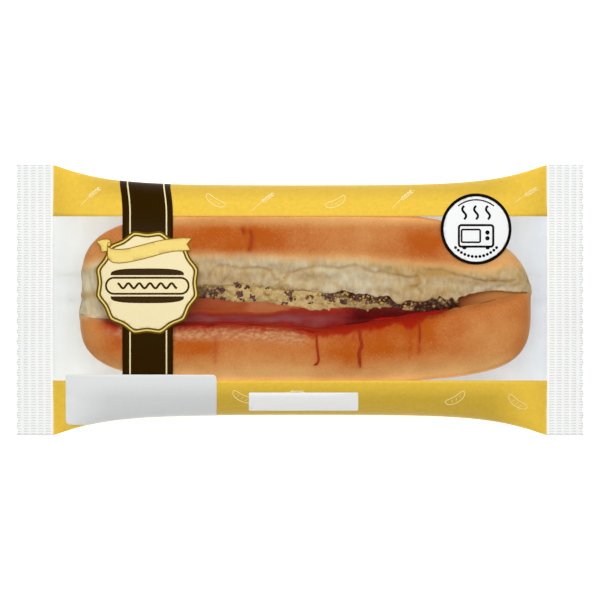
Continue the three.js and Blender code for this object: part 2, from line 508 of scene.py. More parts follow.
def new_tree(name, inputs):
    """A Geometry Nodes tree that takes a geometry and these inputs, and the sockets that give them."""
    tree = bpy.data.node_groups.new(name, "GeometryNodeTree")
    tree.interface.new_socket("Geometry", in_out="OUTPUT", socket_type="NodeSocketGeometry")
    for key, kind in {"Geometry": "Geometry", **inputs}.items():
        tree.interface.new_socket(key, in_out="INPUT", socket_type="NodeSocket" + kind)
    return tree, add(tree, "NodeGroupInput").outputs


def spread(tree, points, thing, material, turns=None):
    """Ends a tree by putting a thing on every point, as real geometry with this material."""
    inputs = {"Points": points, "Instance": thing, **(turns or {})}
    things = add(tree, "GeometryNodeInstanceOnPoints", inputs).outputs[0]
    real = add(tree, "GeometryNodeRealizeInstances", {"Geometry": things}).outputs[0]
    done = add(tree, "GeometryNodeSetMaterial", {"Geometry": real, "Material": material}).outputs[0]
    add(tree, "NodeGroupOutput", {"Geometry": done})
    return tree


def grow(host, tree, values):
    """Runs a Geometry Nodes tree on a host object, and keeps the result as its plain mesh."""
    modifier = host.modifiers.new("grow", "NODES")
    modifier.node_group = tree
    sockets = {item.name: item.identifier for item in tree.interface.items_tree if item.in_out == "INPUT"}
    for key, value in values.items():
        modifier[sockets[key]] = value
    graph = bpy.context.evaluated_depsgraph_get()
    grown = bpy.data.meshes.new_from_object(host.evaluated_get(graph))
    if not len(grown.polygons):
        raise RuntimeError(f"{host.name}: its node tree made nothing")
    host.modifiers.remove(modifier)
    host.data = grown
    grown.name = host.name
    return claim(host)


def hermite(t, start, end, start_slope, end_slope):
    """A smooth step from start to end, with these slopes at its ends, as t runs from 0 to 1."""
    return (
        start * (1 + 2 * t) * (1 - t) ** 2 + end * t * t * (3 - 2 * t)
        + start_slope * t * (1 - t) ** 2 + end_slope * t * t * (t - 1)
    )


def curve(*knots):
    """A smooth function through (x, value) knots in millimetres, which takes and gives metres."""
    xs, ys = np.array(knots, float).T * MM
    slopes = np.gradient(ys, xs)

    def at(x):
        x = np.clip(x, xs[0], xs[-1])
        i = np.clip(np.searchsorted(xs, x, side="right") - 1, 0, len(xs) - 2)
        h = xs[i + 1] - xs[i]
        return hermite((x - xs[i]) / h, ys[i], ys[i + 1], h * slopes[i], h * slopes[i + 1])

    return at


def lumps(x, y, z, size, seed):
    """Smooth noise from -1 to 1 with bumps of this size, at each point."""
    x, y, z = np.broadcast_arrays(x, y, z)
    shift = Vector((17.3, 5.9, 11.1)) * seed
    flat = [noise.noise(Vector(p) / size + shift) for p in zip(x.ravel(), y.ravel(), z.ravel())]
    return np.array(flat).reshape(x.shape)


def step_up(value, start, end):
    """0 before start and 1 after end, smoothly. Start may be the larger."""
    t = np.clip((value - start) / (end - start), 0, 1)
    return t * t * (3 - 2 * t)


def bell(value, middle, reach):
    """1 at the middle, falling smoothly to almost 0 beyond twice the reach."""
    return np.exp(-(((value - middle) / reach) ** 2))


def near_path(x, y, path, width):
    """1 on a path of (x, y) points in millimetres, falling to 0 beyond about twice its width."""
    path = np.array(path, float) * MM
    best = np.full(np.shape(x), 1.0)
    for (ax, ay), (bx, by) in zip(path, path[1:]):
        dx, dy = bx - ax, by - ay
        t = np.clip(((x - ax) * dx + (y - ay) * dy) / (dx * dx + dy * dy), 0, 1)
        best = np.minimum(best, np.hypot(x - ax - t * dx, y - ay - t * dy))
    return bell(best, 0, width)


# ---------------------------------------------------------------- the film tube

class Film:
    """The outside of the film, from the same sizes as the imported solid. An angle of 0 is the +Y side
    fold, a quarter turn is the top and minus a quarter turn is the back."""

    BACK_LIFT = 0.35 * MM  # the back film lies this far up, on its folded seam
    SEAL_WAVES = 1.5  # waves along a seal's edge
    STATIONS, ANGLES, HALVINGS = 97, 721, 30  # how finely the bulges are worked out
    NUDGE, TURN = 0.02 * MM, 0.002  # steps to either side of a point that give its normal
    GATHER_FADE, GATHER_START = 11 * MM, 2 * MM  # runs over which the gathers end, and begin at the seal
    GATHER_FAN = 0.012 / MM  # how they spread away from the seal
    GATHER_PITCH, WANDER_PITCH, WANDER = 1.45 * MM, 6.1 * MM, 1.7  # across, and how unevenly
    LAYER_PITCH = 1.5  # layers of print lie this many thicknesses apart

    def __init__(self, pack):
        self.pack = pack
        self.end = HIGH.x
        self.mouth = HIGH.x - pack.seal_length
        self.seal_width = HIGH.y - LOW.y
        self.stations = np.linspace(0, self.mouth, self.STATIONS)
        self.bulges = self.solve_bulges(self.half_width(self.stations))

    def half_width(self, x):
        run = np.maximum(0, self.mouth - np.abs(x))
        flare = np.exp(-((run / self.pack.flare_length) ** self.pack.flare_power))
        return (self.pack.waist_width + (self.seal_width - self.pack.waist_width) * flare) / 2

    def section(self, width, bulge, angle):
        """Y and Z at this angle round a section of this half width and bulge."""
        across = np.cos(angle)
        power = self.pack.base_power
        drop = bulge * (1 - np.abs(across) ** power) ** (1 / power)
        fold = self.pack.fold_height
        below = np.maximum(self.BACK_LIFT, fold - drop)
        return width * across, np.where(np.sin(angle) >= 0, fold + bulge * np.abs(np.sin(angle)), below)

    def solve_bulges(self, widths):
        """The bulge of each section that gives it the girth of the flat tube, by halving an interval."""
        angles = np.linspace(0, FULL_TURN, self.ANGLES)[:, None]
        low, high = np.zeros(len(widths)), np.full(len(widths), self.end / 2)
        for _ in range(self.HALVINGS):
            middle = (low + high) / 2
            y, z = self.section(widths, middle, angles)
            girth = np.hypot(np.diff(y, axis=0), np.diff(z, axis=0)).sum(axis=0)
            low = np.where(girth < 2 * self.seal_width, middle, low)
            high = np.where(girth < 2 * self.seal_width, high, middle)
        return low

    def bulge(self, x):
        thin = self.pack.seal_thickness / 2
        opening = 1 - np.exp(-np.maximum(0, self.mouth - np.abs(x)) / self.pack.mouth_length)
        return thin + (np.interp(np.abs(x), self.stations, self.bulges) - thin) * opening

    def gather(self, x, angle):
        """How deep the film is creased where it gathers into an end seal."""
        run = self.mouth - np.abs(x)
        y = self.half_width(x) * np.cos(angle)
        fade = np.exp(-run / self.GATHER_FADE) * (1 - np.exp(-run / self.GATHER_START))
        swell = fade * np.abs(np.sin(angle))
        fan = y / (1 + self.GATHER_FAN * run)
        wander = self.WANDER * np.sin(fan / self.WANDER_PITCH) + np.sign(x)
        fold = 0.5 + 0.5 * np.sin(fan / self.GATHER_PITCH + wander)
        return -self.pack.crease_depth * swell * fold ** 2

    def place(self, x, angle):
        return stacked(x, *self.section(self.half_width(x), self.bulge(x), angle))

    def point(self, x, angle, lift):
        """Points on the film, moved out of it by lift."""
        x, angle = np.broadcast_arrays(x, angle)
        along = self.place(x + self.NUDGE, angle) - self.place(x - self.NUDGE, angle)
        round_it = self.place(x, angle + self.TURN) - self.place(x, angle - self.TURN)
        normal = np.cross(round_it, along)
        normal /= np.linalg.norm(normal, axis=-1, keepdims=True)
        return self.place(x, angle) + normal * (lift + self.gather(x, angle))[..., None]

    def angle_at(self, x, y):
        """The angle of the top film over a point in plan."""
        return np.arccos(np.clip(y / self.half_width(x), -1, 1))

    def over(self, x, y, lift):
        """Points on the top film, or on the upper face of a seal, over points in plan."""
        on_tube = self.point(np.clip(x, -self.mouth, self.mouth), self.angle_at(x, y), lift)
        on_tube[..., 0] = x
        return on_tube

    def seal_middle(self, x, y):
        """The height of the middle of an end seal's thickness."""
        along = (np.abs(x) - self.mouth) / self.pack.seal_length
        wave = self.pack.seal_wave * np.sin(FULL_TURN * self.SEAL_WAVES * y / self.seal_width)
        return self.pack.fold_height + along * (wave - self.pack.seal_droop * along)

    def layer(self, number):
        """How far out of the film a layer of print lies."""
        return number * self.LAYER_PITCH * self.pack.print_thickness


def film_sheet(film, name, x, angle, lift, thickness, materials, slot):
    """A closed sheet of film or print over grids of stations and angles. A second material lines it."""
    x, angle = np.broadcast_arrays(x, angle)
    sheet = sheet_faces(*x.shape)
    points, faces = shell(sheet, film.point(x, angle, lift), film.point(x, angle, lift - thickness))
    lining = np.zeros(len(faces))
    lining[len(sheet):2 * len(sheet)] = len(materials) - 1
    return new_piece(name, points, faces, materials, slot, face_materials=lining)


TUBE_STATIONS = 150


def tube_stations(film):
    """Stations along the tube, closer together towards the seals."""
    t = np.linspace(-1, 1, TUBE_STATIONS)
    return film.mouth * np.sin(t * math.pi / 2) * (1 - 0.25 * (1 - t * t))


# ---------------------------------------------------------------- print

class Print:
    """Flat shapes in plan, in metres, gathered as one layer of print."""

    CELL = 2.5 * MM  # no face is larger, so that the layer follows the film
    MERGE = 0.001 * MM  # points closer than this become one

    def __init__(self):
        self.points = []
        self.faces = []

    def take(self, points, faces):
        start = len(self.points)
        self.points += [tuple(map(float, p)) for p in points]
        self.faces += [tuple(i + start for i in f) for f in faces]

    def fill(self, outline):
        """A filled outline, cut into cells."""
        work = bmesh.new()
        work.faces.new([work.verts.new((x, y, 0)) for x, y in outline])
        bmesh.ops.triangulate(work, faces=work.faces)
        low, high = np.min(outline, axis=0), np.max(outline, axis=0)
        for axis in (0, 1):
            for k in range(math.floor(low[axis] / self.CELL), math.ceil(high[axis] / self.CELL) + 1):
                spot, across = Vector(), Vector()
                spot[axis], across[axis] = k * self.CELL, 1
                bmesh.ops.bisect_plane(
                    work, geom=work.verts[:] + work.edges[:] + work.faces[:], plane_co=spot, plane_no=across
                )
        bmesh.ops.remove_doubles(work, verts=work.verts, dist=self.MERGE)
        bmesh.ops.recalc_face_normals(work, faces=work.faces)
        work.verts.index_update()
        self.take([v.co[:2] for v in work.verts], [tuple(v.index for v in f.verts) for f in work.faces])
        work.free()

    def band(self, outer, inner, closed=True):
        """The strip between two lines of as many points."""
        count = len(outer)
        last = count if closed else count - 1
        faces = [(i, (i + 1) % count, (i + 1) % count + count, i + count) for i in range(last)]
        self.take(list(outer) + list(inner), faces)

    def line(self, path, width, closed=False):
        """A line of this width along a path."""
        path = short_steps(np.array(path, float), closed)
        sides = width / 2 * beside(path, closed)
        self.band(path + sides, path - sides, closed)

    def piece(self, film, name, layer, material, slot="cream_print"):
        """Lays the shapes on the film as layer number layer."""
        x, y = np.array(self.points).T
        lift = film.layer(layer)
        outer, inner = (film.over(x, y, height) for height in (lift, lift - film.pack.print_thickness))
        return new_piece(name, *shell(self.faces, outer, inner), [material], slot)


LONGEST_STEP = 1.5 * MM  # of a printed line's path


def short_steps(path, closed):
    """A path with extra points, so that none of its steps is longer than the longest."""
    out = []
    ends = np.concatenate([path, path[:1]]) if closed else path
    for a, b in zip(ends, ends[1:]):
        count = max(1, math.ceil(np.linalg.norm(b - a) / LONGEST_STEP))
        out += [a + (b - a) * k / count for k in range(count)]
    if not closed:
        out.append(path[-1])
    return np.array(out)


def beside(path, closed=False):
    """Unit vectors that point to one side of a path in plan."""
    if closed:
        ways = np.roll(path, -1, axis=0) - np.roll(path, 1, axis=0)
    else:
        ways = np.gradient(path, axis=0)
    sides = stacked(-ways[:, 1], ways[:, 0])
    return sides / np.linalg.norm(sides, axis=1, keepdims=True)


def ring_of(centre, radius, count=96, waves=0, depth=0.0, squash=1.0):
    """Points round a circle, or round one whose edge waves in and out."""
    turn = np.linspace(0, FULL_TURN, count, endpoint=False)
    reach = radius * (1 + depth * (1 - 2 * np.abs(np.cos(waves / 2 * turn)) ** 1.4)) if waves else radius
    return stacked(centre[0] + reach * np.cos(turn), centre[1] + squash * reach * np.sin(turn))


def rounded_box(centre, width, height, corner, count=6):
    """The outline of a box with round corners."""
    points = []
    for turn, (sx, sy) in enumerate(((1, 1), (-1, 1), (-1, -1), (1, -1))):
        middle = (centre[0] + sx * (width / 2 - corner), centre[1] + sy * (height / 2 - corner))
        for i in range(count + 1):
            a = (turn + i / count) * math.pi / 2
            points.append((middle[0] + corner * math.cos(a), middle[1] + corner * math.sin(a)))
    return np.array(points)


def smooth_path(knots, steps):
    """A smooth path through knots in millimetres, as points in metres, with this many steps to a knot."""
    knots = np.array(knots, float) * MM
    padded = np.concatenate([knots[:1], knots, knots[-1:]])
    out = []
    for p0, p1, p2, p3 in zip(padded, padded[1:], padded[2:], padded[3:]):
        out += [hermite(t, p1, p2, (p2 - p0) / 2, (p3 - p1) / 2) for t in np.arange(steps) / steps]
    return np.array([*out, knots[-1]])


def turned(points, centre, degrees):
    """Points in millimetres about 0, turned and moved to a centre in millimetres."""
    a = math.radians(degrees)
    matrix = np.array([[math.cos(a), math.sin(a)], [-math.sin(a), math.cos(a)]])
    return np.array(points, float) @ matrix + np.array(centre)


# ---------------------------------------------------------------- pack operators

class HOTDOG_OT_film(bpy.types.Operator):
    """Builds the film tube: printed sides, white back with its seam, and the clear window"""

    bl_idname = "hotdog.film"
    bl_label = "Film Tube"

    FLAP_LIFT = 0.28 * MM  # how far the folded seam stands out of the back
    FLAP_STEP = 0.06 * MM  # run over which it steps down to the back
    TUCK = 0.8 * MM  # how far the window reaches in under the printed sides
    SIDE_COLUMNS, WINDOW_COLUMNS = 41, 65

    def execute(self, context):
        pack = context.scene.pack_settings
        film = Film(pack)
        x = tube_stations(film)[:, None]
        thickness = pack.film_thickness
        # The yellow carries painted shade along both side folds.
        yellow = gravure_print("yellow_gravure_print", pack.yellow, 0.045, fold_shade=0.26)
        lining = backing_ink(linear("#fdfdfd"))
        far = film.angle_at(x, pack.window_far)
        near = film.angle_at(x, pack.window_near)
        back = film.angle_at(x, pack.back_edge)
        for name, start, end in (("far", -back, far), ("near", near, math.pi + back)):
            angle = between(start, end, self.SIDE_COLUMNS)
            film_sheet(film, f"side_print_{name}", x, angle, 0, thickness, [yellow, lining], "printed_film")
        far = film.angle_at(x, pack.window_far + self.TUCK)
        near = film.angle_at(x, pack.window_near - self.TUCK)
        angle = between(far, near, self.WINDOW_COLUMNS)
        clear = clear_polypropylene()
        lift, clear_thickness = -0.2 * thickness, 0.6 * thickness
        window = film_sheet(film, "window_film", x, angle, lift, clear_thickness, [clear], "clear_film")
        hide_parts(PACK_NODE)
        self.back(film, x, milky_polypropylene(linear("#ebeeef")))
        return {"FINISHED"}

    def back(self, film, x, milky):
        """The white back with its seam: a welded flap that is folded flat and stands proud of the film."""
        edge, free, step = film.pack.back_edge, film.pack.seam_width, self.FLAP_STEP
        y = np.concatenate([
            np.linspace(edge, free + step, 14), np.linspace(free, 0, 9), np.linspace(-step, -edge, 18)
        ])[None, :]
        angle = -film.angle_at(x, y)
        flap = ((y >= 0) & (y <= free)) * np.ones_like(x)
        outer = film.point(x, angle, self.FLAP_LIFT * flap)
        inner = film.point(x, angle, -film.pack.film_thickness)
        points, faces = shell(sheet_faces(*flap.shape), outer, inner)
        new_piece("back_film", points, faces, [milky], "white_film", {"pressed": [flap, 0 * flap]})


def crimp_tree(material):
    """A tree that puts one small arched ridge on every point."""
    sizes = {"Ridge Length": "Float", "Ridge Arch": "Float", "Ridge Radius": "Float"}
    tree, given = new_tree("crimps", sizes)
    half = reckon(tree, "MULTIPLY", given["Ridge Length"], 0.5)
    arch = add(tree, "GeometryNodeCurveQuadraticBezier", {
        "Resolution": 4,
        "Start": add(tree, "ShaderNodeCombineXYZ", {"X": reckon(tree, "MULTIPLY", half, -1.0)}).outputs[0],
        "Middle": add(tree, "ShaderNodeCombineXYZ", {"Y": given["Ridge Arch"]}).outputs[0],
        "End": add(tree, "ShaderNodeCombineXYZ", {"X": half}).outputs[0],
    }).outputs[0]
    wire = {"Resolution": 6, "Radius": given["Ridge Radius"]}
    ridge = add(tree, "GeometryNodeCurveToMesh", {
        "Curve": arch, "Profile Curve": add(tree, "GeometryNodeCurvePrimitiveCircle", wire).outputs[0],
        "Fill Caps": True,
    }).outputs[0]
    dots = add(tree, "GeometryNodeMeshToPoints", {"Mesh": given["Geometry"]}).outputs[0]
    return spread(tree, dots, ridge, material)


class HOTDOG_OT_seals(bpy.types.Operator):
    """Builds the two crimped end seals with their saw-toothed edges"""

    bl_idname = "hotdog.seals"
    bl_label = "End Seals"

    EDGE_STEPS, DEPTH_STEPS = 26 * 8, 28
    OVERLAP = 0.5 * MM  # how far a seal reaches into the tube
    THINNING = 0.5 * MM  # run over which its two sides thin out
    EMBOSS = 0.05 * MM  # height of the waves between the crimps
    RIDGE_LIFT = 0.01 * MM  # of the crimps' middle lines above its face
    RIDGE = {"Ridge Length": 2.0 * MM, "Ridge Arch": 0.5 * MM, "Ridge Radius": 0.15 * MM}

    def execute(self, context):
        pack = context.scene.pack_settings
        film = Film(pack)
        white = gravure_print("welded_white_film", pack.white, 0.012, 0.4)
        # Painted shade: the crimp ridges are a greyer white, standing in for the shade in the grooves
        # between them.
        tree = crimp_tree(gravure_print("white_film_painted_crimp_shade", linear("#d8dcda"), 0.02, 0.45))
        for side, name in ((-1, "left"), (1, "right")):
            self.seal(film, side, f"end_seal_{name}", white)
            points = [*self.crimp_points(film, side, 1), *self.crimp_points(film, side, -1)]
            grow(mesh_object(f"seal_crimps_{name}", points, []), tree, self.RIDGE)
        return {"FINISHED"}

    def seal(self, film, side, name, white):
        pack = film.pack
        y = np.linspace(LOW.y, HIGH.y, self.EDGE_STEPS + 1)[None, :]
        along = np.linspace(-self.OVERLAP, pack.seal_length, self.DEPTH_STEPS)[:, None]
        tooth = 2 * np.abs((y - LOW.y) / pack.tooth_pitch % 1 - 0.5)
        cut = pack.tooth_depth * (1 - tooth) * step_up(along, 0.8 * pack.seal_length, pack.seal_length)
        x = side * (film.mouth + along - cut)
        half = pack.seal_thickness / 2 * np.sqrt(np.clip((HIGH.y - np.abs(y)) / self.THINNING, 0.04, 1))
        emboss = self.EMBOSS * np.sin(FULL_TURN * y / film.seal_width * pack.crimp_rows)
        middle = film.seal_middle(x, y) + emboss
        layered(name, stacked(x, y, middle + half), stacked(x, y, middle - half), [white], "white_film")

    def crimp_points(self, film, side, face):
        """Where the ridges stand on the upper or the lower face of a seal."""
        pack = film.pack
        lift = face * (pack.seal_thickness / 2 + self.RIDGE_LIFT)
        points = []
        for column in range(pack.crimp_columns):
            x = side * (film.mouth + pack.seal_length * (column + 0.55) / pack.crimp_columns)
            for row in range(pack.crimp_rows):
                y = LOW.y + film.seal_width * (row + 0.5) / pack.crimp_rows
                points.append((x, y, film.seal_middle(x, y) + lift))
        return points


class HOTDOG_OT_label(bpy.types.Operator):
    """Builds the ribbon, the label patch, the text panel and the small motifs"""

    bl_idname = "hotdog.label"
    bl_label = "Ribbon And Panels"

    # In millimetres: X of the sides of the ribbon, its stripes and the patch, and Y of their ends.
    RIBBON = (-68.8, -49.2)
    RIBBON_END = -28.9
    STRIPES = (-66.1, -52.0)
    STRIPE_WIDTH = 0.55
    PATCH = (-90.7, -32.3)
    PATCH_TOP = -28.85
    PATCH_LOW = -48.3
    PATCH_CORNER = 1.6
    PATCH_UNDER = math.pi + 0.12  # the angle at which the patch ends on the back
    PULL = 1.0 * MM  # how far the ribbon is drawn left where it turns over the far side

    def execute(self, context):
        pack = context.scene.pack_settings
        film = Film(pack)
        dark = gravure_print("brown_gravure_print", pack.ribbon, 0.02, 0.3, 0.03)
        cream = gravure_print("cream_gravure_print", pack.cream, 0.015, 0.3)
        # The label patch carries painted shade along the near side fold.
        white = gravure_print("white_panel_print", linear("#e8eae9"), 0.008, fold_shade=0.14)
        self.strip(film, "ribbon_band", *self.RIBBON, 1, dark, "dark_print")
        for number, x in enumerate(self.STRIPES):
            right = x + self.STRIPE_WIDTH
            self.strip(film, f"ribbon_pinstripe_{number}", x, right, 2, cream, "cream_print")
        self.patch(film, white)
        self.panel(film, gravure_print("panel_white_print", linear("#f4f5f3"), 0.008))
        self.motifs(film)
        return {"FINISHED"}

    def strip(self, film, name, left, right, layer, material, slot):
        """A band of print across the pack, from the back over the far side to the label patch."""
        share = np.linspace(0, 1, 121)[:, None]
        columns = np.linspace(left, right, 2 if right - left < 1 else 13)[None, :] * MM
        back = -film.angle_at(columns, film.pack.back_edge)
        end = film.angle_at(columns, self.RIBBON_END * MM)
        angle = back + (end - back) * share
        pull = -self.PULL * (1 - step_up(angle, 0.2, 0.75))
        thickness = film.pack.print_thickness
        film_sheet(film, name, columns + pull, angle, film.layer(layer), thickness, [material], slot)

    def patch(self, film, white):
        """The white label patch, which turns round the near side fold except at its near left corner."""
        low, high = self.PATCH
        corner = self.PATCH_CORNER

        def inset(run):
            """How far a round corner stands back, at this run from the patch's side."""
            return corner - np.sqrt(np.maximum(0, corner ** 2 - np.maximum(0, corner - run) ** 2))

        ease = corner * (1 - np.cos(np.linspace(0, 1, 7) * math.pi / 2))
        straight = np.linspace(low + corner, high - corner, 70)[1:-1]
        stations = np.concatenate([low + ease, straight, (high - ease)[::-1]])[:, None]
        x = stations * MM
        start = film.angle_at(x, (self.PATCH_TOP - inset(high - stations)) * MM)
        low_edge = (self.PATCH_LOW + inset(stations - low)) * MM
        under = low_edge < -film.half_width(x)
        angle = between(start, np.where(under, self.PATCH_UNDER, film.angle_at(x, low_edge)), 41)
        thickness = film.pack.print_thickness
        film_sheet(film, "label_patch", x, angle, film.layer(3), thickness, [white], "white_film")

    def panel(self, film, white):
        """The small white text panel, left bare."""
        layer = Print()
        layer.fill(rounded_box((1.35 * MM, -39.3 * MM), 42.4 * MM, 7.0 * MM, 0.5 * MM))
        layer.piece(film, "text_panel", 2, white, "white_film")

    def motifs(self, film):
        """Small outlines of sausages and ears of wheat, scattered over the yellow fields."""
        pale = gravure_print("pale_yellow_print", linear("#fdeaa6"), 0.02, 0.34)
        layer = Print()
        ears = (-81, 40.5, 40), (-14, 38.5, 35), (40, 39.5, 38), (88, 41, 30), (-3, -35.8, 0)
        for x, y, angle in ears:
            self.ear(layer, (x, y), angle)
        sausages = (-33, 38, -30), (14, 37.5, 25), (60.5, -38.5, 30), (84, -40, -35), (-22.5, -38, -25)
        for x, y, angle in sausages:
            self.sausage(layer, (x, y), angle)
        layer.piece(film, "motifs", 1, pale)

    @staticmethod
    def ear(layer, centre, angle):
        """An ear of wheat: a bent stem with paired grains."""
        stem = turned([(-6, -0.6), (-2, 0), (2, 0.2), (5, 0)], centre, angle)
        layer.line(smooth_path(stem, 3), 0.22 * MM)
        for k in range(4):
            for side in (-1, 1):
                grain = [(0, 0), (0.9, 0.55 * side), (2.0, 0.75 * side), (1.3, 0.1 * side)]
                layer.fill(turned(np.array(grain) + (k * 1.3 - 1.2, 0.12 * side), centre, angle) * MM)

    @staticmethod
    def sausage(layer, centre, angle):
        """A sausage: a bent capsule outline with three nicks."""
        turn = np.linspace(0, FULL_TURN, 28, endpoint=False)
        x = 4.2 * np.sign(np.cos(turn)) * np.abs(np.cos(turn)) ** 0.6
        y = 1.25 * np.sign(np.sin(turn)) * np.abs(np.sin(turn)) ** 0.8 + 0.05 * x ** 2
        layer.line(turned(stacked(x, y), centre, angle) * MM, 0.26 * MM, closed=True)
        for k in (-1.8, 0, 1.8):
            layer.line(turned([(k - 0.3, -0.45), (k, 0.0), (k + 0.3, 0.5)], centre, angle) * MM, 0.2 * MM)


class HOTDOG_OT_badge(bpy.types.Operator):
    """Builds the scalloped badge on the ribbon with its banner and a hot dog pictogram"""

    bl_idname = "hotdog.badge"
    bl_label = "Badge"

    CENTRE = (-59.15 * MM, 6.7 * MM)
    RADIUS = 19.95 * MM
    LOBES = 12
    LOBE_DEPTH = 0.03

    def execute(self, context):
        pack = context.scene.pack_settings
        film = Film(pack)
        olive = gravure_print("olive_gravure_print", pack.olive, 0.02, 0.3, 0.03)
        gold = gravure_print("gold_gravure_print", pack.gold, 0.02, 0.3)
        cream = gravure_print("badge_cream_print", pack.cream, 0.012, 0.3)
        bronze = gravure_print("bronze_gravure_print", linear("#9a7412"), 0.02, 0.3)
        brown = gravure_print("pictogram_brown_print", linear("#3a2405"), 0.02, 0.3, 0.03)
        radii = [self.RADIUS - step * MM for step in (0, 0.7, 1.3, 2.0)]
        rims = [ring_of(self.CENTRE, r, 240, self.LOBES, self.LOBE_DEPTH) for r in radii]
        lines = Print()
        lines.band(rims[0], rims[1])
        lines.band(rims[2], rims[3])
        lines.piece(film, "badge_rim_lines", 3, olive, "dark_print")
        rim = Print()
        rim.band(rims[1], rims[2])
        rim.piece(film, "badge_rim", 3, gold)
        field = Print()
        field.fill(rims[3])
        field.piece(film, "badge_field", 3, cream)
        self.banner(film, gold, bronze)
        self.pictogram(film, brown)
        return {"FINISHED"}

    def banner(self, film, gold, bronze):
        """A ribbon banner across the badge's upper part, with a swallow tail and a folded end."""
        upper = [
            (-74.6, 20.7), (-73.1, 19.9), (-70.9, 19.6), (-67, 19.8), (-62.5, 20.9), (-58, 22.1),
            (-53.5, 23.1), (-49, 23.7), (-45.4, 24.0), (-42.0, 23.9),
        ]
        lower = [
            (-74.5, 16.4), (-73.1, 14.9), (-70.6, 14.3), (-67, 14.6), (-62.5, 15.5), (-58, 16.6),
            (-53.5, 17.9), (-49, 18.8), (-45.4, 19.0), (-42.4, 19.2),
        ]
        top, low = smooth_path(upper, 5), smooth_path(lower, 5)
        shapes, lines = Print(), Print()
        band = np.concatenate([top, [(-43.8 * MM, 21.6 * MM)], low[::-1]])
        shapes.fill(band)
        tail = np.array([
            (-78.9, 22.7), (-76.4, 23.5), (-74.4, 23.6), (-73.5, 23.0), (-73.2, 22.0), (-73.6, 20.9),
            (-74.6, 20.7), (-74.8, 18.9), (-76.9, 18.5), (-77.3, 20.8),
        ]) * MM
        shapes.fill(tail)
        curl = np.array([(-74.6, 20.7), (-74.4, 22.3), (-73.2, 22.0)]) * MM
        lines.line(band, 0.34 * MM, closed=True)
        lines.line(tail, 0.34 * MM, closed=True)
        lines.line(curl, 0.3 * MM)
        shapes.piece(film, "badge_banner", 4, gold)
        lines.piece(film, "badge_banner_outline", 5, bronze, "dark_print")

    def pictogram(self, film, brown):
        """A plain hot dog: bun halves, a sausage that is longer than they are and a wavy mustard line."""
        layer = Print()
        x0, y0 = self.CENTRE[0], self.CENTRE[1] - 1.2 * MM
        t = np.linspace(-1, 1, 49)
        wave = stacked(x0 + 11.5 * MM * t, y0 + 1.0 * MM * np.sin(t * 5.5 * math.pi))
        layer.line(wave, 0.85 * MM)
        sausage = rounded_box((x0, y0), 32 * MM, 6.2 * MM, 3.05 * MM, 8)
        layer.line(sausage, 0.75 * MM, closed=True)
        for side in (-1, 1):
            bow = np.linspace(0, math.pi, 40)
            bun_x = x0 - 14.2 * MM * np.sign(np.cos(bow)) * np.abs(np.cos(bow)) ** 0.7
            bun_y = y0 + side * (4.1 * MM + 2.6 * MM * np.maximum(0, np.sin(bow)) ** 0.6)
            layer.fill(stacked(bun_x, bun_y))
        layer.piece(film, "badge_pictogram", 4, brown, "dark_print")


class HOTDOG_OT_stamp(bpy.types.Operator):
    """Builds the round stamp with its oven pictogram"""

    bl_idname = "hotdog.stamp"
    bl_label = "Round Stamp"

    CENTRE = (68.2, 27.45)
    RADIUS = 13.75
    RING = 1.15

    def execute(self, context):
        pack = context.scene.pack_settings
        film = Film(pack)
        white = gravure_print("stamp_white_print", linear("#f3f4f4"), 0.004)
        ink = gravure_print("stamp_dark_print", pack.ink, 0.02, 0.32, 0.03)
        centre = np.array(self.CENTRE) * MM
        rim = ring_of(centre, (self.RADIUS - self.RING) * MM)
        field = Print()
        field.fill(rim)
        field.piece(film, "stamp_field", 2, white, "white_film")
        lines = Print()
        lines.band(ring_of(centre, self.RADIUS * MM), rim)
        for x, width, height, corner, line in ((68.2, 13.3, 8.3, 1.0, 0.85), (66.2, 7.2, 4.9, 0.5, 0.68)):
            box = rounded_box((x * MM, 24.8 * MM), width * MM, height * MM, corner * MM)
            lines.line(box, line * MM, closed=True)
        for y in (26.1, 23.9):
            lines.fill(ring_of((72.6 * MM, y * MM), 0.85 * MM, 16))
        for x in (63.7, 72.7):
            lines.fill(ring_of((x * MM, 20.2 * MM), 0.8 * MM, 16, squash=0.8))
        t = np.linspace(0, 1, 17)
        for x in (63.6, 68.2, 72.8):
            steam = stacked(x + 0.75 * np.sin(FULL_TURN * t), 31.2 + 5.2 * t) * MM
            lines.line(steam, 0.85 * MM)
        bow = np.radians(np.linspace(52, 128, 24))
        lines.line(centre + 11.3 * MM * stacked(np.cos(bow), np.sin(bow)), 0.5 * MM)
        turn = np.radians(np.linspace(-138, -42, 13))
        for dot in centre + 10.7 * MM * stacked(np.cos(turn), np.sin(turn)):
            lines.fill(ring_of(dot, 0.58 * MM, 12))
        lines.piece(film, "stamp_lines", 3, ink, "dark_print")
        return {"FINISHED"}


# ---------------------------------------------------------------- the roll

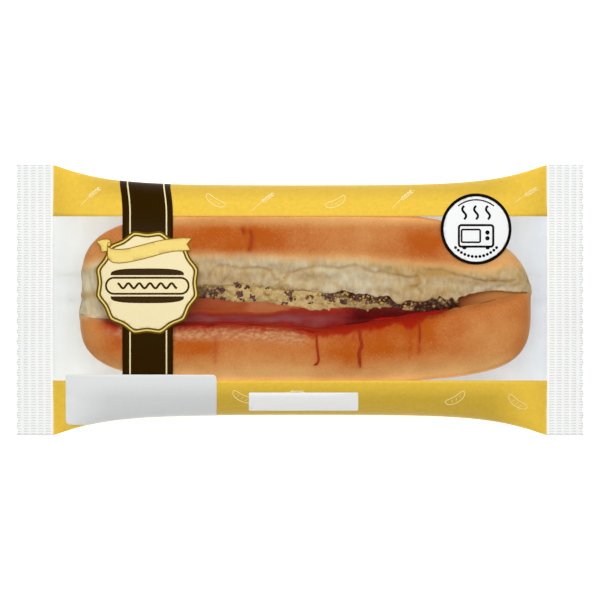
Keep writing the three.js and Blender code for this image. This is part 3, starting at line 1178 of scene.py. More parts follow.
class Bun:
    """The roll's surface: two lobes and the slit between them, as sections along X."""

    MIDDLE = 16.5 * MM  # height of the widest level
    FAR_POWERS = (3.55, 2.5)  # squareness of the far half of the plan outline, left and right
    NEAR_POWER, NEAR_SHARE = 4.15, 0.916  # and of the near half, which is a little narrower
    NEAR_SWELL = 1.2 * MM  # but swells in its middle
    END_POWER, END_ROUND = 9.0, 2.6  # squareness of the ends seen from the side
    BRIM = 28.0 * MM  # height of the crumb's lower edge
    EDGE_LEVEL = 27.3 * MM  # height of the near lobe's edge
    WHOLE = (-60 * MM, -70 * MM)  # between these the slit closes, and left of them the roll is whole

    # Y along X, in millimetres: where the crust ends on the far lobe, where its torn crumb ends, and
    # the near lobe's edge. The floor is the height of the slit's bottom.
    rim = staticmethod(curve(
        (-87, 11), (-77.5, 14), (-39.9, 16.1), (-14.7, 15.9), (0, 15.3), (20.5, 14.9), (43, 13), (55, 11.9),
        (69.7, 10.4), (84.4, 8.0), (90, 4.2),
    ))
    lip = staticmethod(curve(
        (-87, -5.1), (-76, -6.6), (-70, -7.0), (-60, -3.0), (-50, 2.8), (-39.1, 4.3), (-24.4, 5.7),
        (-11.6, 4.4), (-4.8, 4.2), (0, 4.3), (8.4, 2.6), (12.3, 3.0), (18.3, 3.2), (21, 2.4), (26, 2.3),
        (29.9, 1.3), (35.1, 0.9), (36.4, -0.3), (37.6, -0.9), (38.9, -1.5), (40.2, -0.5), (43, -0.1),
        (45.4, -0.1), (47.2, -0.7), (48.6, -0.2), (50.2, 0.9), (51.5, 0.9), (52.8, 0.3), (53.9, 1.6),
        (55.5, 0.5), (57, 0.3), (59.1, 0.5), (60.2, -0.5), (61.8, 1.0), (63.9, 1.8), (66.5, 2.3),
        (70.1, 3.1), (74.3, 3.6), (78.5, 3.5), (83.2, 3.4), (88, 3.0),
    ))
    edge = staticmethod(curve(
        (-87, -5.6), (-76, -7.2), (-62, -8.2), (-49.2, -8.7), (-18.2, -9.1), (-1.9, -10.3), (7.7, -11.0),
        (15.5, -9.9), (30.2, -7.9), (44.5, -6.0), (53.8, -4.6), (60.7, -2.9), (64.9, -2.1), (70.1, -1.1),
        (75.4, 0.2), (80.6, 1.0), (84.3, 2.3), (88, 2.7),
    ))
    floor = staticmethod(curve(
        (-87, 27), (-70, 26.8), (-60, 14), (-50, 6), (-40, 5), (40, 5), (52, 14), (58, 22.5), (64, 24.3),
        (72, 25.2), (80, 26), (90, 26.4),
    ))
    # Y of the sauce's red edge along X, and the blemishes as paths of (x, y), in millimetres.
    bleed = staticmethod(curve(
        (-60, -10.8), (-45, -11.1), (-20, -11.1), (-4, -12.0), (2, -13.3), (7, -14.0), (19.4, -12.8),
        (25.5, -11.6), (33, -10.7), (38.7, -8.6), (41.4, -10.6), (43, -11.0), (46.6, -8.4),
        (49.2, -6.9), (54.4, -5.3), (60, -3.4),
    ))
    TEARS = (
        ((-35.9, 8), (-34.6, 10.8), (-32.7, 12.3), (-29.3, 13.1), (-25.8, 12.7), (-23.2, 11.7),
         (-20.2, 12.1), (-16.8, 12.2), (-13.3, 11.7), (-11.6, 10.8), (-10.5, 9.1), (-9.5, 7.6),
         (-8.2, 7.6)),
        ((-5.6, 8.2), (-3.9, 10.3), (0.7, 11.7), (4.1, 12.3), (8, 12.9), (11.9, 12.5), (15.3, 11.9),
         (18.3, 12.9), (21.7, 13.4), (23.9, 12.5), (26, 11.4), (29, 10.3), (31.6, 10.6), (34.6, 9.7),
         (38.1, 9.5), (40.7, 8.8), (44, 8.6)),
        ((46.6, 12.3), (50.7, 11.5), (54.4, 11.5), (57.6, 10.4), (61.2, 9.4), (66, 8.6), (70.1, 7.3),
         (75.4, 7), (80.6, 7), (83.2, 7.8)),
        ((45.1, 8.9), (46.4, 6.5), (45.1, 5.0), (47.1, 2.5)),
    )
    CREASES = (((-19.2, 26.5), (-18.6, 24.4), (-19, 21.4), (-19.7, 19.5)), ((-22.2, 27.4), (-21.7, 26.2)))
    MARKS = (  # path, width and strength of red and brown marks on the near lobe
        (((6.2, -13.5), (6.6, -18), (7.2, -23.4), (6.4, -25)), 0.75, 0.5),
        (((22.8, -12), (23.9, -17.6), (22.9, -20.3), (23.2, -25.8)), 0.85, 0.6),
        (((21.2, -11), (20.6, -15)), 1.2, 0.5),
        (((45.9, -7.5), (46.4, -13), (46.2, -20.3)), 0.85, 0.5),
        (((42.6, -12.6), (42.4, -22.6)), 0.7, 0.25),
        (((-32.5, -14.5), (-32.9, -24)), 1.0, 0.3),
        (((-74.2, -8.8), (-71.6, -10.2)), 2.6, 0.9),
        (((-71, -10.6), (-70.4, -17)), 1.8, 0.25),
    )
    # How darkly the crust is baked: the middle of a patch, its reach along and across, and how much.
    BAKE = (
        (-24, 22.6, 27, 7.5, 0.50), (47.5, 21.5, 13, 7, 0.42), (21, -21, 12, 5, 0.27),
        (46, -11, 12, 5, 0.2), (-42, -19, 10, 6, 0.26), (-78, 21, 9, 9, 0.1),
        (-16, -18.8, 15, 4.5, -0.2), (20, 23, 12, 6, -0.08), (20, -28, 13, 5, 0.3),
        (74, -15, 15, 13, -0.28), (39, -20, 8, 6, 0.12),
    )

    # How many points follow each control point of a section, and the numbers of the named ones.
    COUNTS = (3, 4, 3, 4, 18, 20, 8, 8, 6, 5, 5, 7, 6, 6, 6, 6, 7, 5, 5, 7, 10, 12, 9, 5, 4, 4)
    LIP, FAR_SIDE, EDGE = 4, 11, 23

    def __init__(self, look):
        self.look = look
        self.half = look.bun_length / 2
        self.centre = look.bun_centre[0], look.bun_centre[1]

    def stations(self):
        """Stations from end to end, closer together at the blunt ends."""
        middle = np.linspace(-0.955, 0.955, 330)
        tip = 1 - 0.045 * (1 - np.linspace(0, 1, 15)[1:]) ** 1.9
        tip[-1] = 0.99995
        return np.concatenate([-tip[::-1], middle, tip])

    def far_reach(self, u):
        """How far the roll reaches from its middle line on the far side, at a share u of its half length."""
        power = self.FAR_POWERS[0] + (self.FAR_POWERS[1] - self.FAR_POWERS[0]) * step_up(u, -0.3, 0.3)
        return self.look.bun_width / 2 * (1 - np.abs(u) ** power) ** (1 / power)

    def near_reach(self, u):
        """The same on the near side."""
        power = self.NEAR_POWER
        blunt = (1 - np.abs(u) ** power) ** (1 / power)
        swell = self.NEAR_SWELL * step_up(np.abs(u), 0.58, 0.35)
        return self.NEAR_SHARE * self.look.bun_width / 2 * blunt + swell

    def section_points(self, u):
        """Control points of each section: (points, stations, 2)."""
        look = self.look
        x = self.centre[0] + self.half * u
        wide = look.bun_width / 2
        far = self.centre[1] + self.far_reach(u)
        near = self.centre[1] - self.near_reach(u)
        rise = (1 - np.abs(u) ** self.END_POWER) ** (1 / self.END_ROUND)
        ragged = 0.35 * MM * lumps(x, 0, 0, 1.6 * MM, 1) + 0.3 * MM * lumps(x, 0, 0, 0.7 * MM, 2)
        ragged = ragged * step_up(x, 63 * MM, 58 * MM) * step_up(x, *self.WHOLE[::-1])
        across = far - near
        rim = np.minimum(self.rim(x), far - 0.12 * across)
        edge = np.maximum(self.edge(x), near + 0.2 * across)
        lip = np.clip(self.lip(x) + ragged, edge + 0.012 * across, rim - 0.05 * across)

        def level(height):
            return self.MIDDLE + (height - self.MIDDLE) * rise

        top, base, brim = look.bun_top, look.bun_base, self.BRIM
        side = self.MIDDLE + 0.7 * (top - self.MIDDLE)
        tuck = self.MIDDLE - 0.62 * (self.MIDDLE - base)
        depth = brim - self.floor(x)
        over = np.minimum(3.5 * MM, 0.3 * (rim - lip)) * (0.05 + 0.95 * step_up(depth, 0.8 * MM, 6 * MM))
        thin = np.clip(0.5 * (lip - edge), 0.1 * MM, 1.2 * MM)
        points = [
            ((lip + edge) / 2, brim - depth),
            (lip + over * 0.6, brim - 0.9 * depth),
            (lip + over, brim - 0.3 * depth),
            (lip + 0.45 * over, brim - 0.08 * depth),
            (lip, brim),
            (lip + 0.45 * (rim - lip), 30.7 * MM),
            (rim, top - 0.4 * MM),
            (rim + 0.35 * (far - rim), top),
            (rim + 0.65 * (far - rim), top - 1.3 * MM),
            (rim + 0.87 * (far - rim), top - 3.6 * MM),
            (rim + 0.975 * (far - rim), side),
            (far, self.MIDDLE),
            (far - 0.07 * wide * rise, tuck),
            (self.centre[1] + 0.7 * (far - self.centre[1]), base),
            (self.centre[1], base - 0.2 * MM),
            (self.centre[1] + 0.7 * (near - self.centre[1]), base),
            (near + 0.07 * wide * rise, tuck),
            (near, self.MIDDLE),
            (near + 0.025 * (edge - near), side),
            (near + 0.12 * (edge - near), top - 3.0 * MM),
            (near + 0.3 * (edge - near), top - 0.9 * MM),
            (near + 0.62 * (edge - near), top),
            (near + 0.88 * (edge - near), top - 1.5 * MM),
            (edge, self.EDGE_LEVEL),
            (edge - 0.3 * thin, self.EDGE_LEVEL - 0.12 * (depth - 0.7 * MM)),
            (edge - 0.5 * thin, self.EDGE_LEVEL - 0.87 * (depth - 0.7 * MM)),
        ]
        return x, np.stack([stacked(y, level(z)) for y, z in points])

    def surface(self):
        """The roll's points, (samples, stations, 3), and each sample's place counted in control points."""
        x, controls = self.section_points(self.stations())
        gaps = np.linalg.norm(np.roll(controls, -1, axis=0) - controls, axis=-1, keepdims=True) + 1e-7
        before = np.roll(gaps, 1, axis=0)
        ways = (np.roll(controls, -1, axis=0) - np.roll(controls, 1, axis=0)) / (gaps + before)
        rows, places = [], []
        for k, count in enumerate(self.COUNTS):
            after = (k + 1) % len(self.COUNTS)
            for t in np.arange(count) / count:
                slopes = gaps[k] * ways[k], gaps[k] * ways[after]
                rows.append(hermite(t, controls[k], controls[after], *slopes))
                places.append(k + t)
        ring = np.stack(rows)
        ring[..., 1] = np.maximum(ring[..., 1], self.look.bun_base - 0.2 * MM)
        y = ring[..., 0] / MM
        dent = 0.8 * MM * bell(y, 6, 9) + 0.6 * MM * bell(y, -0.2, 1.3)
        along = x[None, :] + dent * step_up(x, -79 * MM, -86 * MM)[None, :]
        points = np.concatenate([along[..., None], ring], axis=-1)
        return points, np.array(places)[:, None] + 0 * x[None, :]

    def masks(self, points, place):
        """What each point is like, from 0 to 1: crumb, how baked, with painted light on the shaded sides,
        how tanned, with painted shade on the slit walls, and its blemishes.
        """
        x, y, z = np.moveaxis(points, -1, 0)
        on_top = z > self.MIDDLE
        from_rim = (y - self.rim(x)) / MM
        from_edge = (self.edge(x) - y) / MM
        whole = step_up(x, *self.WHOLE)
        drift = lumps(x, y, z, 4 * MM, 3)
        tip = 5 * step_up(x, 72 * MM, 86 * MM)
        far = step_up(from_rim - tip + 0.7 * drift, 2.6, -1.9)
        near = np.maximum(
            step_up(place + 0.2 * drift, self.EDGE - 0.05, self.EDGE + 0.4),
            whole * on_top * step_up(from_edge + 1.3 * drift, 2.4, -1.8),
        )
        on_far = place < self.FAR_SIDE
        crumb = np.where(on_far, far, near)
        far_wall = step_up(place, self.LIP - 0.05, self.LIP - 0.5)
        near_wall = step_up(place, self.EDGE + 0.1, self.EDGE + 0.7)
        wall = np.where(on_far, far_wall, near_wall) * (1 - whole)
        tears = np.max([near_path(x, y, path, 0.7 * MM) for path in self.TEARS], axis=0)
        creases = np.max([near_path(x, y, path, 1.0 * MM) for path in self.CREASES], axis=0)
        return {
            "crumb": crumb,
            # Painted light: low on the sides the crust is made paler against the shade on the side walls; a
            # real roll is paler there too.
            "bake": self.bake(x, y, from_rim, on_far) * (
                0.3 + 0.7 * step_up(z, 17 * MM, 26 * MM) + 0.5 * step_up(z, 9 * MM, 2 * MM)
            ),
            # On the slit walls this is painted shade, darker where the slit is deep; elsewhere it is how
            # tanned the crumb is.
            "toast": np.where(wall > 0.5, step_up(x, 76 * MM, 58 * MM), self.toast(x, y, from_rim)),
            "tear": 0.42 * tears * crumb * on_top,
            "wall": wall,
            "crease": 0.9 * creases * on_top,
            "strip": (1 - crumb) * self.wrinkled(x, from_edge, on_far),
            "stain": self.stain(x, y, z, on_far) * on_top,
        }

    def bake(self, x, y, from_rim, on_far):
        """How darkly the crust is baked, with painted light that makes it paler towards the far edge and
        down the near flank, where it lies in shade.
        """
        # Painted light: paler towards the far edge and down the near flank, against the shade there; partly
        # the paler side crust of a real roll.
        far_side = 0.62 * (1 - 0.7 * step_up(y, 27 * MM, 31.5 * MM))
        far_side = far_side * (0.12 + 0.88 * step_up(from_rim, 0, 4.8))
        near_side = 0.84 - 0.34 * step_up(y, -18.5 * MM, -25 * MM)
        near_side = near_side - 0.45 * step_up(y, -23.5 * MM, -29.5 * MM)
        baked = np.where(on_far, far_side, near_side)
        for px, py, rx, ry, amount in self.BAKE:
            baked = baked + amount * np.exp(-(((x / MM - px) / rx) ** 2 + ((y / MM - py) / ry) ** 2))
        right = step_up(x, 66 * MM, 80 * MM)
        left = step_up(x, -70 * MM, -85 * MM)
        return np.clip(baked * (1 - np.where(on_far, 0.75, 0.1) * right) * (1 - 0.35 * left), 0, 1)

    def toast(self, x, y, from_rim):
        """How far the crumb has dried and tanned. On the slit walls the same attribute carries painted shade
        instead.
        """
        along = np.interp(x / MM, (-90, -80, -70, -39, -25, -13, 2, 12, 22, 34, 46, 58, 66, 78), (
            0.14, 0.14, 0.3, 0.66, 0.6, 0.5, 0.56, 0.3, 0.12, 0.45, 0.75, 0.6, 0.4, 0.4
        ))
        above = step_up(from_rim, -5.5, -1.0) * np.interp(x / MM, (0, 22), (-0.7, 1))
        right = step_up(x, 62 * MM, 70 * MM) * step_up(y, 6.6 * MM, 4.2 * MM)
        left = step_up(x, -74 * MM, -79 * MM)
        bars = 0.75 * bell(y / MM, 12.0, 2.6) + 0.5 * bell(y / MM, 1.8, 1.8)
        return np.clip(along + 0.3 * above - 0.2 * right + left * (bars + 0.4 * above), 0, 1)

    @staticmethod
    def wrinkled(x, from_edge, on_far):
        """Where the near lobe's crust is pale and wrinkled beside the slit."""
        across = step_up(from_edge, 0.2, 1.2) * step_up(from_edge, 8.4, 4.6)
        along = step_up(x, 6 * MM, -2 * MM) * step_up(x, -78 * MM, -70 * MM)
        return np.where(on_far, 0, 0.85 * across * along)

    def stain(self, x, y, z, on_far):
        """Where sauce has coloured the near lobe."""
        frayed = 0.9 * MM * lumps(x, y, z, 1.0 * MM, 4) + 0.9 * MM * lumps(x, 0.4 * y, z, 2.2 * MM, 10)
        along = step_up(x, -58 * MM, -52 * MM) * step_up(x, 60 * MM, 54 * MM)
        darkened = step_up(y - self.bleed(x) + frayed, -2.0 * MM, 0.9 * MM) * along
        darkened = darkened * (0.8 + 0.12 * step_up(x, 4 * MM, 16 * MM))
        along = step_up(x, 8 * MM, 18 * MM) * step_up(x, 56 * MM, 44 * MM)
        blush = 0.3 * step_up(y - self.bleed(x), -6 * MM, 0) * along
        marks = [share * near_path(x, y, path, width * MM) for path, width, share in self.MARKS]
        whole = step_up(x, *self.WHOLE)
        return np.clip(np.max([darkened, blush, *marks], axis=0), 0, 1) * np.where(on_far, whole, 1)

    def relief(self, points, masks):
        """How far each point moves out: torn crumb is pillowed and grooved, skin is gently wrinkled."""
        x, y, z = np.moveaxis(points, -1, 0)
        torn = 1.0 * MM * lumps(0.8 * x, y, z, 5.0 * MM, 5) + 0.5 * MM * lumps(x, 0.4 * y, z, 1.9 * MM, 6)
        torn = torn - 0.9 * MM * masks["tear"]
        skin = 0.2 * MM * lumps(x, y, z, 14 * MM, 7) + 0.02 * MM * lumps(x, y, z, 1.5 * MM, 8)
        wrinkles = 0.34 * MM * lumps(0.55 * x, y, z, 1.3 * MM, 9) * masks["strip"]
        open_face = masks["crumb"] * (1 - masks["wall"])
        return open_face * torn + (1 - open_face) * (skin + wrinkles) - 0.2 * MM * masks["crease"]


def grid_normals(points):
    """Unit normals of a grid of points whose first axis runs round and closes on itself."""
    round_it = np.roll(points, -1, axis=0) - np.roll(points, 1, axis=0)
    along = np.gradient(points, axis=1)
    normals = np.cross(along, round_it)
    return normals / np.maximum(np.linalg.norm(normals, axis=-1, keepdims=True), 1e-12)


def closed_tube(points):
    """Points and faces of a tube, (round, along, 3), closed by a point at each end."""
    count, stations = points.shape[:2]
    rows = np.moveaxis(points, 1, 0)
    faces = sheet_faces(stations, count, wrap=True)
    ends = [rows[0].mean(axis=0), rows[-1].mean(axis=0)]
    total = count * stations
    faces += [(total, i, (i + 1) % count) for i in range(count)]
    faces += [(total + 1, total - count + (i + 1) % count, total - count + i) for i in range(count)]
    return np.concatenate([rows.reshape(-1, 3), ends]), faces


def with_ends(values):
    """Values of a tube's points in the order of closed_tube, with two more for its end points."""
    flat = np.moveaxis(values, 1, 0)
    return np.concatenate([flat.ravel(), [flat[0].mean(), flat[-1].mean()]])


class HOTDOG_OT_bun(bpy.types.Operator):
    """Builds the slit roll with its torn crumb"""

    bl_idname = "hotdog.bun"
    bl_label = "Bun"

    CLEARANCE = 0.3 * MM  # between the crust and the film that holds it

    def execute(self, context):
        look = context.scene.hotdog_settings
        bun = Bun(look)
        points, place = bun.surface()
        masks = bun.masks(points, place)
        relief = bun.relief(points, masks)
        normals = grid_normals(points)
        outward = np.sign((normals[..., 2] * (points[..., 2] - Bun.MIDDLE)).sum())
        points = points + outward * normals * relief[..., None]
        points = self.held(points, Film(context.scene.pack_settings))
        vertices, faces = closed_tube(points)
        attributes = {name: with_ends(values) for name, values in masks.items()}
        new_piece("bun", vertices, faces, [baked_bread(look)], "bun_crust", attributes)
        return {"FINISHED"}

    def held(self, points, film):
        """The roll as the film holds it: nowhere closer to the film than the clearance."""
        x, y, z = np.moveaxis(points, -1, 0)
        angle = film.angle_at(x, y)
        lift = -film.pack.film_thickness - self.CLEARANCE
        over = film.point(x, angle, lift)[..., 2]
        under = film.point(x, -angle, lift)[..., 2]
        return stacked(x, y, np.clip(z, under, over))


class HOTDOG_OT_sausage(bpy.types.Operator):
    """Builds the sausage in the slit"""

    bl_idname = "hotdog.sausage"
    bl_label = "Sausage"

    ENDS = (-75 * MM, 59.5 * MM)
    AXIS = (-2.5 * MM, 15.7 * MM)

    def execute(self, context):
        look = context.scene.hotdog_settings
        low, high = self.ENDS
        t = np.linspace(-1, 1, 200)
        u = np.sin(t * math.pi / 2)
        u[0], u[-1] = -0.99999, 0.99999
        x = (low + high) / 2 + (high - low) / 2 * u
        taper = np.minimum(1, (1 - np.abs(u) ** 14) ** 0.5)
        radius = look.sausage_radius * taper
        turn = np.linspace(0, FULL_TURN, 72, endpoint=False)[:, None]
        bend = 0.6 * MM * np.cos(x / (40 * MM))
        round_y, round_z = 10 * MM * np.cos(turn), 10 * MM * np.sin(turn)
        dents = 0.25 * MM * lumps(0.25 * x[None, :], round_y, round_z, 5 * MM, 11)
        reach = radius + dents * taper
        middle_y, middle_z = self.AXIS
        points = stacked(x, middle_y + bend + reach * np.cos(turn), middle_z + reach * np.sin(turn))
        vertices, faces = closed_tube(points)
        glazed = 0.85 * step_up(vertices[:, 0], -18 * MM, -32 * MM)
        new_piece("sausage", vertices, faces, [smoked_casing(look)], "sausage_skin", {"glazed": glazed})
        return {"FINISHED"}


def ground_of(*names):
    """A function that gives the height of the topmost of the named pieces at points in plan."""
    graph = bpy.context.evaluated_depsgraph_get()
    trees = [BVHTree.FromObject(bpy.data.objects[name], graph) for name in names]
    down = Vector((0, 0, -1))

    def at(x, y):
        x, y = np.broadcast_arrays(x, y)
        tops = []
        for spot in zip(x.ravel(), y.ravel()):
            hits = [tree.ray_cast(Vector((*spot, HIGH.z)), down)[0] for tree in trees]
            tops.append(max([hit.z for hit in hits if hit], default=0.0))
        return np.array(tops).reshape(x.shape)

    return at


def blanket(x, low, high, rows, heights, thin, thick):
    """The upper and the lower face of a layer of sauce over stations x, from low(x) to high(x) across,
    and the x, y and share of their points, where share runs from 0 to 1 across. The upper face is
    heights(x, y, share), and the layer is thin at its borders and thicker by thick in its middle."""
    share = np.linspace(0, 1, rows)[None, :]
    x = x[:, None] + 0 * share
    y = low(x) + (high(x) - low(x)) * share
    top = heights(x, y, share)
    under = top - (thin + thick * np.sin(np.pi * share))
    return stacked(x, y, top), stacked(x, y, under), (x, y, share)


def softened(values, passes):
    """A grid smoothed by averaging each value with its neighbours, this many times."""
    for _ in range(passes):
        for axis in (0, 1):
            padded = np.pad(values, [(1, 1) if a == axis else (0, 0) for a in (0, 1)], mode="edge")
            before, after = (np.take(padded, range(k, k + values.shape[axis]), axis=axis) for k in (0, 2))
            values = (before + 2 * values + after) / 4
    return values


def seed_tree(name, material):
    """A tree that scatters small flattened seeds over a surface, where its 'seedy' attribute is high."""
    tree, given = new_tree(name, {"Seeds Per Square Metre": "Float", "Seed Radius": "Float", "Draw": "Int"})
    seedy = add(tree, "GeometryNodeInputNamedAttribute", {"Name": "seedy"}, data_type="FLOAT").outputs[0]
    crowd = reckon(tree, "MULTIPLY", given["Seeds Per Square Metre"], seedy)
    spots = add(tree, "GeometryNodeDistributePointsOnFaces", {
        "Mesh": given["Geometry"], "Density": crowd, "Seed": given["Draw"],
    }).outputs["Points"]
    sizes = {"Segments": 8, "Rings": 5, "Radius": given["Seed Radius"]}
    ball = add(tree, "GeometryNodeMeshUVSphere", sizes).outputs[0]
    smooth = add(tree, "GeometryNodeSetShadeSmooth", {"Geometry": ball}).outputs[0]

    def drawn(low, high):
        """A random value for each seed, between two."""
        inputs = {0: low, 1: high, "Seed": given["Draw"]}
        return add(tree, "FunctionNodeRandomValue", inputs, data_type="FLOAT_VECTOR").outputs[0]

    turns = {
        "Rotation": drawn((0.0, 0.0, 0.0), (FULL_TURN, FULL_TURN, FULL_TURN)),
        "Scale": drawn((0.55, 0.5, 0.4), (1.35, 1.1, 0.9)),
    }
    return spread(tree, spots, smooth, material, turns)


class HOTDOG_OT_sauces(bpy.types.Operator):
    """Builds the grain mustard with its seeds and the tomato sauce with its drips"""

    bl_idname = "hotdog.sauces"
    bl_label = "Mustard And Tomato Sauce"

    MUSTARD = (-41.5, 61.6)
    mustard_low = staticmethod(curve(
        (-41.5, 1.4), (-38.7, 0.7), (-34.1, 0.2), (-29.8, -0.4), (-26.3, -1.3), (-23.6, -1.7),
        (-20.1, -1.7), (-15.1, -1.5), (-11.6, -1.7), (-8.5, -2.7), (-5, -3.2), (0, -3.7), (1.5, -4.3),
        (5.8, -5.0), (8.9, -4.8), (12.4, -4.3), (16.7, -3.9), (20.5, -3.7), (24, -4.4), (26.3, -4.8),
        (29, -3.7), (32.5, -3.6), (36.8, -3.5), (41, -4.5), (50, -4.6), (54, -3.9), (61.6, -2.3),
    ))
    mustard_high = staticmethod(curve(
        (-41.5, 5.6), (-38.7, 5.8), (-34.1, 6.3), (-28.4, 6.3), (-23.2, 7.3), (-19.4, 6.9),
        (-16.8, 6.5), (-12.5, 5.6), (-9.9, 6.0), (-8.4, 6.9), (-7, 8.4), (-5.8, 9.2), (-5.2, 7.4),
        (-3, 6.0), (0, 6.2), (12, 5.4), (30, 4.2), (40, 1.8), (52, 2.4), (61.6, 1.4),
    ))
    LAPS = (-4 * MM, -7 * MM)  # between these the mustard comes out over the crumb's edge
    # Middle and reach, in millimetres, of the clusters of dark seeds.
    CLUSTERS = (
        (-36.1, 3.4, 0.9), (-37.2, 1.7, 0.8), (-33.6, 2.2, 1.4), (-30.9, 3.9, 1.1), (-29.8, 1.0, 0.8),
        (-24, 5.6, 1.0), (-20.4, 4.8, 0.8), (-23.2, 2.4, 1.1), (-22.6, 0.2, 0.7), (-18.3, 1.3, 0.9),
        (-12.5, 4.5, 0.5), (-29.7, -0.2, 0.5), (-4.1, 2.4, 1.1), (-3.6, 0.8, 1.2), (-6, -1.3, 0.6),
        (2.6, 1.1, 0.7), (5, 1.3, 0.7), (2.2, -2.1, 0.6), (4.1, -1.2, 0.6), (12, 0.3, 1.2),
        (17, -0.8, 1.2), (22, 0.6, 1.3), (27, -0.6, 1.1),
    )
    KETCHUP = (-70, 57.5)
    ketchup_high = staticmethod(curve(
        (-70, -6), (-60, -4.8), (-42.6, -4.2), (-38.3, -3.6), (-34.1, -4.2), (-29.8, -4.4),
        (-24.5, -4.3), (-21.1, -4.5), (-16.8, -4.8), (-12.5, -4.8), (-9.9, -4.4), (-6, -3.7),
        (-2.6, -3.2), (0, -2.7), (6, -3.2), (20, -2.4), (37, -2.6), (44, -3.4), (57.5, -2.6),
    ))
    ketchup_low = staticmethod(curve(
        (-70, -9.4), (-60, -9.6), (-42.6, -10.3), (-38.7, -10.1), (-35.2, -10.7), (-31.8, -9.9),
        (-27.5, -9.6), (-22.1, -9.9), (-18.6, -10.1), (-13.2, -10.3), (-10.1, -10.3), (-6.2, -9.9),
        (-3.1, -10.7), (-1.2, -12), (0.8, -12), (3.5, -12.9), (6.2, -13.1), (8.1, -12.5), (10.8, -11.6),
        (15.1, -11), (19.8, -10.7), (22.1, -10.3), (25.6, -9.5), (28.3, -8.6), (30.6, -7.8),
        (33.7, -7.6), (38, -7.2), (40.7, -6.6), (46, -5.9), (52, -5.0), (57.5, -3.6),
    ))
    # Path, width and thickness, in millimetres, of the drips down the near lobe.
    DRIPS = (
        (((6.2, -12.6), (6.5, -15.5), (6.6, -18), (7, -21), (7.2, -23.2), (6.6, -24.6), (5.2, -25.3)),
         0.9, 0.07),
        (((22.8, -11), (23.3, -14.5), (23.9, -17.6), (22.9, -20.3), (23, -23), (23.4, -25.9)), 1.25, 0.08),
        (((45.8, -7.6), (46.3, -10.5), (46.4, -14), (46.2, -17)), 0.7, 0.05),
    )

    DRIP_LOOK = {"deep": 0.5, "haze": 0.0, "thin": 0.5}

    def execute(self, context):
        look = context.scene.hotdog_settings
        self.mustard(look)
        self.ketchup(look)
        return {"FINISHED"}

    def mustard(self, look):
        start, end = self.MUSTARD
        x = np.linspace(start * MM, end * MM, 420)
        ground = ground_of("bun")

        def low(x):
            return self.mustard_low(x) + 0.3 * MM * lumps(x, 0, 0, 2.0 * MM, 21)

        def high(x):
            return self.mustard_high(x) + 0.3 * MM * lumps(x, 0, 0, 1.6 * MM, 26)

        def heights(x, y, share):
            body = 25.3 * MM + 1.5 * MM * np.sin(np.pi * np.clip(share, 0.03, 0.97)) ** 0.5
            clots = 0.6 * MM * lumps(x, y, 0, 2.4 * MM, 22) + 0.4 * MM * lumps(x, y, 0, 1.0 * MM, 23)
            body = body + clots * np.sin(np.pi * share) ** 0.4 - 1.0 * MM * (1 - step_up(share, 0, 0.12))
            body = body + 0.9 * MM * step_up(share, 0.35, 0.75) * step_up(x, 14 * MM, 6 * MM)
            bed = softened(np.maximum(ground(x, y), body), 4)
            over = bed + (0.35 * MM + 0.4 * clots) * np.sin(np.pi * share) ** 0.5 - 0.04 * MM
            return np.where(step_up(x, *self.LAPS) * (over > body), over, body)

        upper, lower, (gx, gy, share) = blanket(x, low, high, 48, heights, 0.3 * MM, 2.5 * MM)
        # Painted shade: under the crumb's overhanging lip the paste is darker and carries more dark seeds.
        lip_shade = step_up(gy - Bun.lip(gx), -3.2 * MM, -1.9 * MM) * step_up(gx, 6 * MM, 12 * MM)
        # Darker towards both ends and most at the right end: partly dark husks, partly painted shade under
        # the lip and beside the shaded slit.
        darkened = step_up(gx, 42 * MM, 46 * MM)
        ends = 0.42 * step_up(gx, -26 * MM, -35 * MM) + 0.4 * step_up(gx, 12 * MM, 22 * MM)
        clots = 0.55 + 0.9 * lumps(gx, gy, 0, 1.3 * MM, 27)
        murk = np.clip(ends + 0.55 * lip_shade * (1 - darkened) + darkened * clots, 0, 1)
        layered("mustard", upper, lower, [grain_mustard(look)], "mustard", {"murk": murk})
        clusters = np.max([
            np.exp(-(((gx / MM - cx) / (1.35 * reach)) ** 2 + ((gy / MM - cy) / reach) ** 2) ** 2)
            for cx, cy, reach in self.CLUSTERS
        ], axis=0)
        inside = step_up(share, 0.04, 0.16)
        dark_share = np.clip(clusters + 0.3 * lip_shade * (1 - 0.75 * darkened), 0, 1) * inside
        gold_share = inside * (0.2 + 0.8 * step_up(gx, 8 * MM, 20 * MM)) * (1 - 0.8 * darkened)
        dark = seed_husk("brown_seed_husk", look.seed_dark, linear("#7a5148"))
        gold = seed_husk("yellow_seed_husk", look.seed_gold, linear("#c9a45c"))
        for name, material, where, amount, draw, size in (
            ("mustard_seeds_dark", dark, dark_share, 3.0e6, 3, look.seed_size),
            ("mustard_seeds_gold", gold, gold_share, 0.4e6, 8, 1.15 * look.seed_size),
        ):
            host = mesh_object(name, upper.reshape(-1, 3), sheet_faces(*gx.shape), {"seedy": where})
            grow(host, seed_tree(name, material), {
                "Seeds Per Square Metre": amount, "Seed Radius": size, "Draw": draw,
            })

    def ketchup(self, look):
        start, end = self.KETCHUP
        x = np.linspace(start * MM, end * MM, 460)
        ground = ground_of("bun", "sausage")

        def high(x):
            return self.ketchup_high(x) + 0.2 * MM * lumps(x, 0, 0, 3 * MM, 31)

        def low(x):
            return self.ketchup_low(x) + 0.3 * MM * lumps(x, 0, 0, 1.6 * MM, 32)

        def heights(x, y, share):
            trough = 24.6 * MM + 1.2 * MM * step_up(share, 0.3, 1)
            skin = 0.32 * MM * np.sin(np.pi * np.clip(share, 0, 1)) ** 0.85 - 0.02 * MM
            bed = ground(x, y)
            inside = step_up(share, 0, 0.14)
            surface = np.maximum(bed + (softened(bed, 3) - bed) * inside + skin, trough)
            return surface + 0.12 * MM * lumps(x, y, 0, 3 * MM, 33) * inside

